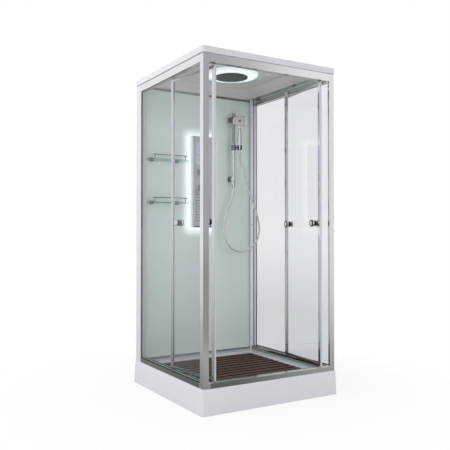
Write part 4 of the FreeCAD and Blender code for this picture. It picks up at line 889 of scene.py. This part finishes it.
# %% Knobs on both leaves
for side, word in ((-1, "left"), (1, "right")):
    dark_painted_spools, painted_highlight_shells = [], []
    for from_pivot in (knob_from_pivot, leaf_span - knob_from_pivot):
        foot, way = leaf_place(side, from_pivot, pane_half)
        # painted reflection and highlight: the spool is painted dark, and the band and inlay are bright rings
        # painted over it
        dark_painted_spools.append(turned("knob", knob_outline, 40, foot, way))
        painted_highlight_shells.append(turned("band", highlight_band_outline, 40, foot, way))
        painted_highlight_shells.append(turned("inlay", highlight_inlay_outline, 32, foot, way))
        foot, way = leaf_place(side, from_pivot, -pane_half)
        painted_highlight_shells.append(turned("cap", head_of_knob, 32, foot, -way))
    dress(dark_painted_spools, "knobs_" + word, "spool_chrome_painted_dark", word + "_door", "door_knobs_" + word, slot="chrome")
    dress(painted_highlight_shells, "knob_painted_highlights_" + word, "knob_chrome_painted_rim", word + "_door", slot="chrome")

# %% [markdown]
# ## The control column
# The column is a satin plate with a soft edge. On it sit a display behind glass, two knobs and rows of flat
# jets. At the size of the picture these are only a few pixels, but their dark edges are what makes the
# column read as a working panel. The display is a glass pane with a sunken screen. Faces to be changed are
# picked in code, by the way they face, because an operator works on all that is selected.

# %% Sinking faces and cutting
straight_against = -0.99


def sink(piece, way, rim, depth):
    """Insets the faces that look against a way by a rim, and pushes what is left along that way."""
    only(piece)
    bpy.ops.object.mode_set(mode="EDIT")
    bpy.context.tool_settings.mesh_select_mode = (False, False, True)
    bpy.ops.mesh.select_all(action="DESELECT")
    bpy.ops.object.mode_set(mode="OBJECT")
    for face in piece.data.polygons:
        face.select = face.normal.dot(Vector(way)) < straight_against
    bpy.ops.object.mode_set(mode="EDIT")
    bpy.ops.mesh.inset(thickness=rim, depth=0)
    bpy.ops.mesh.extrude_region_move(TRANSFORM_OT_translate={"value": Vector(way) * depth})
    bpy.ops.object.mode_set(mode="OBJECT")
    return piece


def cut(piece, cutter):
    """Cuts a piece with another one, which is used up."""
    only(piece)
    saw = piece.modifiers.new("cut", "BOOLEAN")
    saw.object = cutter
    saw.solver = "EXACT"
    bpy.ops.object.modifier_apply(modifier=saw.name)
    bpy.data.objects.remove(cutter)
    return piece


print("sinking and cutting ready")

# %% The display: a sunken screen, a light band and touch marks
window_margin = Vector((0.014, 0, 0))
screen_depth, screen_rim, soft_edge = 0.0005, 0.0035, 0.0005
band_half, band_bottom, band_top, band_edge = 0.034, 1.670, 1.692, 0.0002
mark_columns, mark_rows = (-0.027, 0.027), (1.656, 1.617, 1.581)
window_low, window_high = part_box("display_window")
screen_y = window_low.y + screen_depth
pane = block("pane", window_low - window_margin, window_high + window_margin)
sink(pane, backward, screen_rim, screen_depth)
soften(pane, soft_edge, 2)
dress([pane], "display_pane", "display_glass", "cabin", "display_window", slot="display_glass")
low, high = (-band_half, screen_y - 0.0004, band_bottom), (band_half, screen_y + 0.0002, band_top)
band = block("band", low, high, band_edge, 1)
dress([band], "display_band", "screen_blue", "cabin", slot="display_glass")
mark_outline = mm([(5.8, 0), (5.8, 0.3), (5, 0.5), (4, 0.3), (1.5, 0.3)])
marks = []
for x in mark_columns:
    for z in mark_rows:
        marks.append(turned("mark", mark_outline, 20, (x, screen_y, z), forward))
print("display with", len(marks), "touch marks")
dress(marks, "display_marks", "mark_ink", "cabin", slot="display_glass")

# %% The temperature knob with its four lobes
column_front = 0.3975
knob_x, temperature_z, diverter_z = -0.020, 1.489, 1.382
grip_out, lobe_start = 0.013, 0.012
column_knob_outline = mm([
    (20.5, 0), (21.6, 0.6), (22, 1.8), (22, 3.6), (21.2, 5), (19.4, 5.8), (16.6, 6.2), (15.8, 7.4),
    (16.6, 9.2), (17, 11), (17, 22.2), (16.4, 24.2), (15, 25.5), (13.2, 25.9), (12, 25.2),
    (11, 25.2), (10.4, 25.9), (3, 26),
])
lobe_outline = mm([
    (4.2, 0), (4.3, 5), (5, 10), (5.8, 12.5), (6, 14.5), (5.4, 16), (3.8, 16.8), (1.5, 17),
])


def column_knob(height):
    """The body of a knob on the column, and the middle of its grip."""
    foot = Vector((knob_x, column_front, height))
    return turned("body", column_knob_outline, 48, foot, forward), foot + Vector(forward) * grip_out


def around_column(angle):
    return Vector((math.cos(angle), 0, math.sin(angle)))


body, middle = column_knob(temperature_z)
parts = [body]
for angle in round_steps(4, 0.5):
    way = around_column(angle)
    parts.append(turned("lobe", lobe_outline, 20, middle + way * lobe_start, way))
print("temperature knob of", len(parts), "forms")
dress(parts, "temperature_grip", "dark_chrome", "temperature_knob", "temperature_knob", slot="chrome")

# %% The diverter knob with its ring lever
lever_turn = math.radians(240)
lever_way = around_column(lever_turn)
arm_end, arm_radius = 0.0262, 0.0034
loop_reach, loop_radius, loop_wire = 0.044, 0.0195, 0.0028
body, middle = column_knob(diverter_z)
arm = bar("arm", middle + lever_way * lobe_start, middle + lever_way * arm_end, arm_radius, 16)
only()
bpy.ops.mesh.primitive_torus_add(major_radius=loop_radius, minor_radius=loop_wire)
loop = settle(bpy.context.object, middle + lever_way * loop_reach, forward)
dress([body, arm, loop], "diverter_grip", "dark_chrome", "diverter_knob", "diverter_knob", slot="dark_chrome")
print("diverter knob's lever", round(loop_reach + loop_radius, 3), "m long")

# %% The body jets and their dark mouths, which paint the shade in each recess: one of each is modelled, the rest are copies
jet_front = 0.399
jet_columns = (-0.053, -0.031, 0.031, 0.053)
jet_rows, lowest_jet, jet_pitch = 9, 1.137, 0.021
jet_rim, jet_edge, mouth_edge = 0.0010, 0.0003, 0.0001
jet = block("jet", (-0.0068, -0.0015, -0.0036), (0.0068, 0, 0.0036))
sink(jet, backward, jet_rim, jet_rim)
soften(jet, jet_edge, 1)
# painted shade: a dark insert in each jet's recess
shade_mouth = block("shade_mouth", (-0.0060, -0.0009, -0.0028), (0.0060, -0.0004, 0.0028), mouth_edge, 1)
jet_places = [(x, jet_front, lowest_jet + row * jet_pitch) for x in jet_columns for row in range(jet_rows)]
dress(copies(jet, jet_places), "jet_rows", "plated_plastic", "cabin", "body_jets", slot="grey_plastic")
dress(copies(shade_mouth, jet_places), "jet_mouths_painted_shade", "mark_ink", "cabin", slot="grey_plastic")
print("body jets", len(jet_places))

# %% The waterfall spout, a wedge with a slot underneath
spout_low, spout_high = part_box("waterfall_spout")
spout_lip, near_edge, slot_rim, slot_depth = 0.002, 0.001, 0.003, 0.0012
spout = block("spout", spout_low, spout_high)
for vertex in spout.data.vertices:
    if vertex.co.y < spout_low.y + near_edge and vertex.co.z > spout_low.z + near_edge:
        vertex.co.z = spout_low.z + spout_lip
sink(spout, upward, slot_rim, slot_depth)
soften(spout, soft_edge, 2)
dress([spout], "spout_lip", "dark_chrome", "cabin", "waterfall_spout", slot="black_gloss")
print("spout", round(spout_high.x - spout_low.x, 3), "m wide")

# %% [markdown]
# ## The riser and its fittings
# The riser is a plain chrome tube between a wall block at the top and the hose outlet at the bottom, and the
# slider rides on it. A chrome tube lives by its smooth outline, so it has many sides, and each block gets
# soft edges, because a sharp edge on plated plastic would show no line of light.

# %% The tube, the top block and the outlet
riser_x, riser_y = 0.263, 0.395
riser_low, riser_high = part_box("riser_bar")
tube_top = (riser_high.z - riser_low.z) * 1000
tube_outline = mm([(9.5, 0), (9.5, tube_top - 2), (8.9, tube_top - 0.7), (7.5, tube_top)])
tube = turned("tube", tube_outline, 48, (riser_x, riser_y, riser_low.z))
dress([tube], "riser_tube", "tube_chrome_painted_rim", "cabin", "riser_bar", slot="chrome_tube")

collar_sunk, block_edge = 0.0005, 0.0040
block_low, block_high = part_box("riser_bracket")
collar_outline = mm([(12.2, 0), (12.8, 0.6), (12.8, 2.2), (11.8, 3)])
parts = [
    block("top_block", block_low, block_high, block_edge, 4),
    turned("collar", collar_outline, 40, (riser_x, riser_y, block_high.z - collar_sunk)),
]
dress(parts, "riser_block", "dark_chrome", "cabin", "riser_bracket", slot="chrome_plastic")

nut_height, nipple_radius, elbow_edge = 0.016, 0.0070, 0.0015
outlet_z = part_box("hose_outlet")[0].z
body_outline = mm([
    (10, 0), (11.8, 0.8), (12, 2), (12, 18), (11, 19.5), (11, 21.5), (12, 23),
    (12, 73.5), (11.2, 75.5), (9.8, 76),
])
nut_outline = mm([(8.6, 0), (10, 1.2), (10, 14.8), (8.6, 16)])
parts = [
    turned("body", body_outline, 40, (riser_x, riser_y, outlet_z + nut_height)),
    turned("nut", nut_outline, 6, (riser_x, riser_y, outlet_z)),
    block("wall_block", (0.248, riser_y + 0.001, 1.438), (0.278, 0.455, 1.476), block_edge, 4),
    bar("nipple", (riser_x, 0.452, 1.457), (riser_x, 0.474, 1.457), nipple_radius),
    block("elbow", (0.255, 0.464, 1.449), (0.271, 0.480, 1.465), elbow_edge, 2),
]
dress(parts, "outlet_elbow", "tube_chrome_painted_rim", "cabin", "hose_outlet", slot="chrome_plastic")
print("riser tube", round(tube_top), "mm tall")

# %% The slider and its arm
slider_z, cradle_reach, hub_half = 1.693, 0.046, 0.019
arm_start, arm_gap, slider_arm_radius = 0.012, 0.0196, 0.0080
pin_start, pin_end, pin_radius = 0.0210, 0.0156, 0.0029
arm_turn = math.radians(-29.9)
arm_way = Vector((math.cos(arm_turn), math.sin(arm_turn), 0))
spray_way = Vector((arm_way.y, -arm_way.x, 0))
riser_point = Vector((riser_x, riser_y, slider_z))
cradle_point = riser_point + arm_way * cradle_reach
hub_outline = mm([
    (16, 0), (17.6, 0.7), (18, 2), (18, 8.5), (17.2, 9.5), (17.2, 28.5), (18, 29.5), (18, 36),
    (17.6, 37.3), (16, 38),
])
parts = [
    turned("hub", hub_outline, 48, riser_point - Vector((0, 0, hub_half))),
    bar("arm", riser_point + arm_way * arm_start, cradle_point - arm_way * arm_gap, slider_arm_radius),
    bar("pin", cradle_point - arm_way * pin_start, cradle_point - arm_way * pin_end, pin_radius, 16),
]
dress(parts, "slider_hub", "dark_chrome", "slider", "slider", slot="chrome_plastic")
print("slider at", slider_z, "m")

# %% The cradle, a cup with a slot for the hose
slot_half, slot_reach = 0.0085, 0.03
cup_drop, bore_drop, cup_edge, cup_crease = 0.018, 0.007, 0.0006, 50
cup_outline = mm([(15, 0), (16.8, 0.6), (17.5, 2), (18.2, 16), (19, 33), (18.6, 35.2), (17.2, 36)])
bore_outline = mm([(10.7, 0), (12.8, 50)])
cup_foot = cradle_point - Vector((0, 0, cup_drop))
cup = turned("cup", cup_outline, 64, cup_foot)
cut(cup, turned("bore", bore_outline, 48, cup_foot - Vector((0, 0, bore_drop))))
slot_cutter = block("slot_cutter", (-slot_half, 0, -slot_reach), (slot_half, slot_reach, slot_reach))
turn_of_slot = math.atan2(spray_way.y, spray_way.x) - math.pi / 2
cut(cup, settle(slot_cutter, cradle_point, spin=turn_of_slot))
soften(cup, cup_edge, 2, cup_crease)
dress([cup], "cradle_cup", "black_gloss", "cradle", "cradle", slot="chrome_plastic")
print("cradle faces", len(cup.data.polygons))

# %% [markdown]
# ## The hand shower
# Its handle swells a little and leans forward into a flat head. It is drawn as one run of rings: each step
# extrudes the last ring to the next centre and scales it. The head is turned flat and then tipped to its
# angle, and its face carries rings of soft nozzles round a dark middle.

# %% The handle, ring after ring along a leaning line, and the head
handle_sketch = (
    (-11, 0, 11.2), (-9.5, 0, 11.7), (20, 0, 12.4), (45, 0.3, 13.3), (65, 0.9, 13.6), (85, 2.8, 13),
    (105, 6.1, 11.9), (125, 10.4, 10.7), (140, 14, 9.9), (152, 17.2, 9.6), (160, 19.6, 9.8),
)
handle_rings = []
for height, lean, radius in handle_sketch:
    centre = cradle_point + (spray_way * lean + Vector((0, 0, height))) / 1000
    handle_rings.append((radius / 1000, centre))
tilt = math.radians(12)
head_rise, head_lead, neck_reach, neck_radius, nut_drop = 0.198, 0.033, 0.0300, 0.0094, 0.025
head_way = spray_way * math.cos(tilt) - Vector((0, 0, math.sin(tilt)))
head_up = spray_way * math.sin(tilt) + Vector((0, 0, math.cos(tilt)))
head_point = cradle_point + Vector((0, 0, head_rise)) + spray_way * head_lead
head_outline = mm([
    (4, -10), (20, -9.9), (27, -9.4), (33, -7.8), (40, -4), (46, 0.4), (50.2, 4), (52.2, 6.2),
    (52.5, 7.4), (52.5, 8.6), (52, 9.6), (50.8, 10), (48.8, 10), (47.8, 9.6), (46.6, 8.8), (44.6, 8.6),
    (10, 8.6),
])
nut_cone_outline = mm([(7.6, 0), (8.1, 0.6), (8.8, 12), (9, 13), (8.4, 14)])
parts = [
    ringed("handle", handle_rings, 40),
    turned("head", head_outline, 72, head_point, head_way),
    bar("neck", handle_rings[-3][1], head_point - head_up * neck_reach, neck_radius),
    turned("nut_cone", nut_cone_outline, 32, cradle_point - Vector((0, 0, nut_drop))),
]
dress(parts, "hand_shower_body", "head_chrome_painted_rim", "hand_shower", "hand_shower", slot="chrome_plastic",
      crease=30)
print("hand shower head at", [round(v, 3) for v in head_point])

# %% The spray face with its rings of nozzles, and dark notches in the rim round it
nozzle_rings = ((0.0225, 12, 1.2), (0.0345, 20, 2.0), (0.0412, 30, 0.8))
nozzle_height, middle_height, notch_height = 0.0120, 0.0118, 0.0088
notch_reach, notch_step = 0.0474, 0.13
face_outline = mm([
    (44, 8.8), (44, 11.6), (43.6, 12.5), (42.6, 13), (40, 13), (39.4, 12.6), (32, 12.5),
    (31.4, 12.9), (30, 12.9), (29.4, 12.5), (20, 12.5), (19.2, 13), (16, 13), (15, 12.4), (4, 12.4),
])
nozzle_outline = ((1.6, 0), (1.5, 1), (1.1, 1.6), (0.4, 1.7))
middle_outline = mm([(11, 0), (11, 1.2), (10.2, 1.9), (8.8, 1.6), (3, 1.4)])
notch_outline = mm([(3.6, 0), (3.6, 0.8), (2.6, 1.4), (1, 1.4)])


def on_face(angle, reach, height):
    side = head_up.cross(head_way)
    return head_point + (side * math.cos(angle) + head_up * math.sin(angle)) * reach + head_way * height


spray = turned("spray", face_outline, 72, head_point, head_way)
dress([spray], "spray_plate", "spray_grey", "hand_shower", "spray_face", slot="grey_plastic")
nozzles = []
for reach, count, size in nozzle_rings:
    outline = mm([(radius * size, height) for radius, height in nozzle_outline])
    for angle in round_steps(count, 0.5):
        nozzles.append(turned("nozzle", outline, 10, on_face(angle, reach, nozzle_height), head_way))
print("nozzles", len(nozzles))
nozzles.append(turned("middle", middle_outline, 32, head_point + head_way * middle_height, head_way))
dress(nozzles, "spray_nozzles", "hub_grey", "hand_shower", slot="grey_plastic")
notches = []
for group in round_steps(4, 0.5):
    for step in (-1, 0, 1):
        foot = on_face(group + step * notch_step, notch_reach, notch_height)
        notches.append(turned("notch", notch_outline, 12, foot, head_way))
dress(notches, "rim_notches", "mark_ink", "hand_shower", slot="grey_plastic")

# %% [markdown]
# ## Shelf rails and screws
# The shelves are held by plated blocks that grip the glass, and a thin rail keeps bottles from sliding off.
# The screws that hold the back posts have dark crossed heads.

# %% Shelf rails and glass holders
glass_heights, glass_thickness = (1.258, 1.562), 0.008
rail_y, rail_rise, rail_ends, rail_radius = 0.385, 0.038, (-0.4045, -0.1365), 0.0034
post_places, post_radius = (-0.390, -0.151), 0.0032
holder_places, holder_half, holder_front, holder_back = (-0.390, -0.193), 0.011, 0.429, 0.455
holder_grip, holder_bevel = 0.009, 0.0022
foot_outline = mm([(6.6, 0), (6.6, 1.4), (5.2, 2.4), (3.4, 2.6)])
fittings = []
for glass_z in glass_heights:
    glass_top = glass_z + glass_thickness
    rail_z = glass_z + rail_rise
    rail_left, rail_right = [(x, rail_y, rail_z) for x in rail_ends]
    fittings.append(bar("rail", rail_left, rail_right, rail_radius, 20))
    for x in post_places:
        fittings.append(bar("post", (x, rail_y, glass_top), (x, rail_y, rail_z), post_radius, 16))
        fittings.append(turned("foot", foot_outline, 20, (x, rail_y, glass_top)))
    for x in holder_places:
        for bottom in (glass_top, glass_z - holder_grip):
            low = (x - holder_half, holder_front, bottom)
            high = (x + holder_half, holder_back, bottom + holder_grip)
            fittings.append(block("holder", low, high, holder_bevel))
print("shelf fittings", len(fittings))
dress(fittings, "shelf_rails", "dark_chrome", "cabin", "shelf_fittings", slot="chrome")

# %% Screws in the back posts
screw_x, screw_y, screw_heights = 0.445, 0.424, (0.238, 1.112, 1.986)
arm_half, arm_width_half, cross_low, cross_high = 0.0022, 0.0004, 0.0010, 0.0030
screw_outline = mm([(4, 0), (4, 0.7), (3.6, 1.4), (2.7, 1.9), (1.2, 2)])
shank_outline = mm([(1.7, -14), (2, -13), (2, 0.4)])
screws = []
for side in (-1, 1):
    screw_head = turned("screw", screw_outline, 20)
    for x, y in ((arm_half, arm_width_half), (arm_width_half, arm_half)):
        cut(screw_head, block("cross", (-x, -y, cross_low), (x, y, cross_high)))
    screw = joined([screw_head, turned("shank", shank_outline, 16)], "screw")
    screws += copies(screw, [(side * screw_x, screw_y, z) for z in screw_heights], (-side, 0, 0))
print("screws", len(screws))
dress(screws, "crossed_screws", "dark_steel", "cabin", "post_screws", slot="steel")

# %% [markdown]
# ## Last look
# The dressed cabin must stay as large as the imported one.

# %% Finish
bpy.context.view_layer.update()
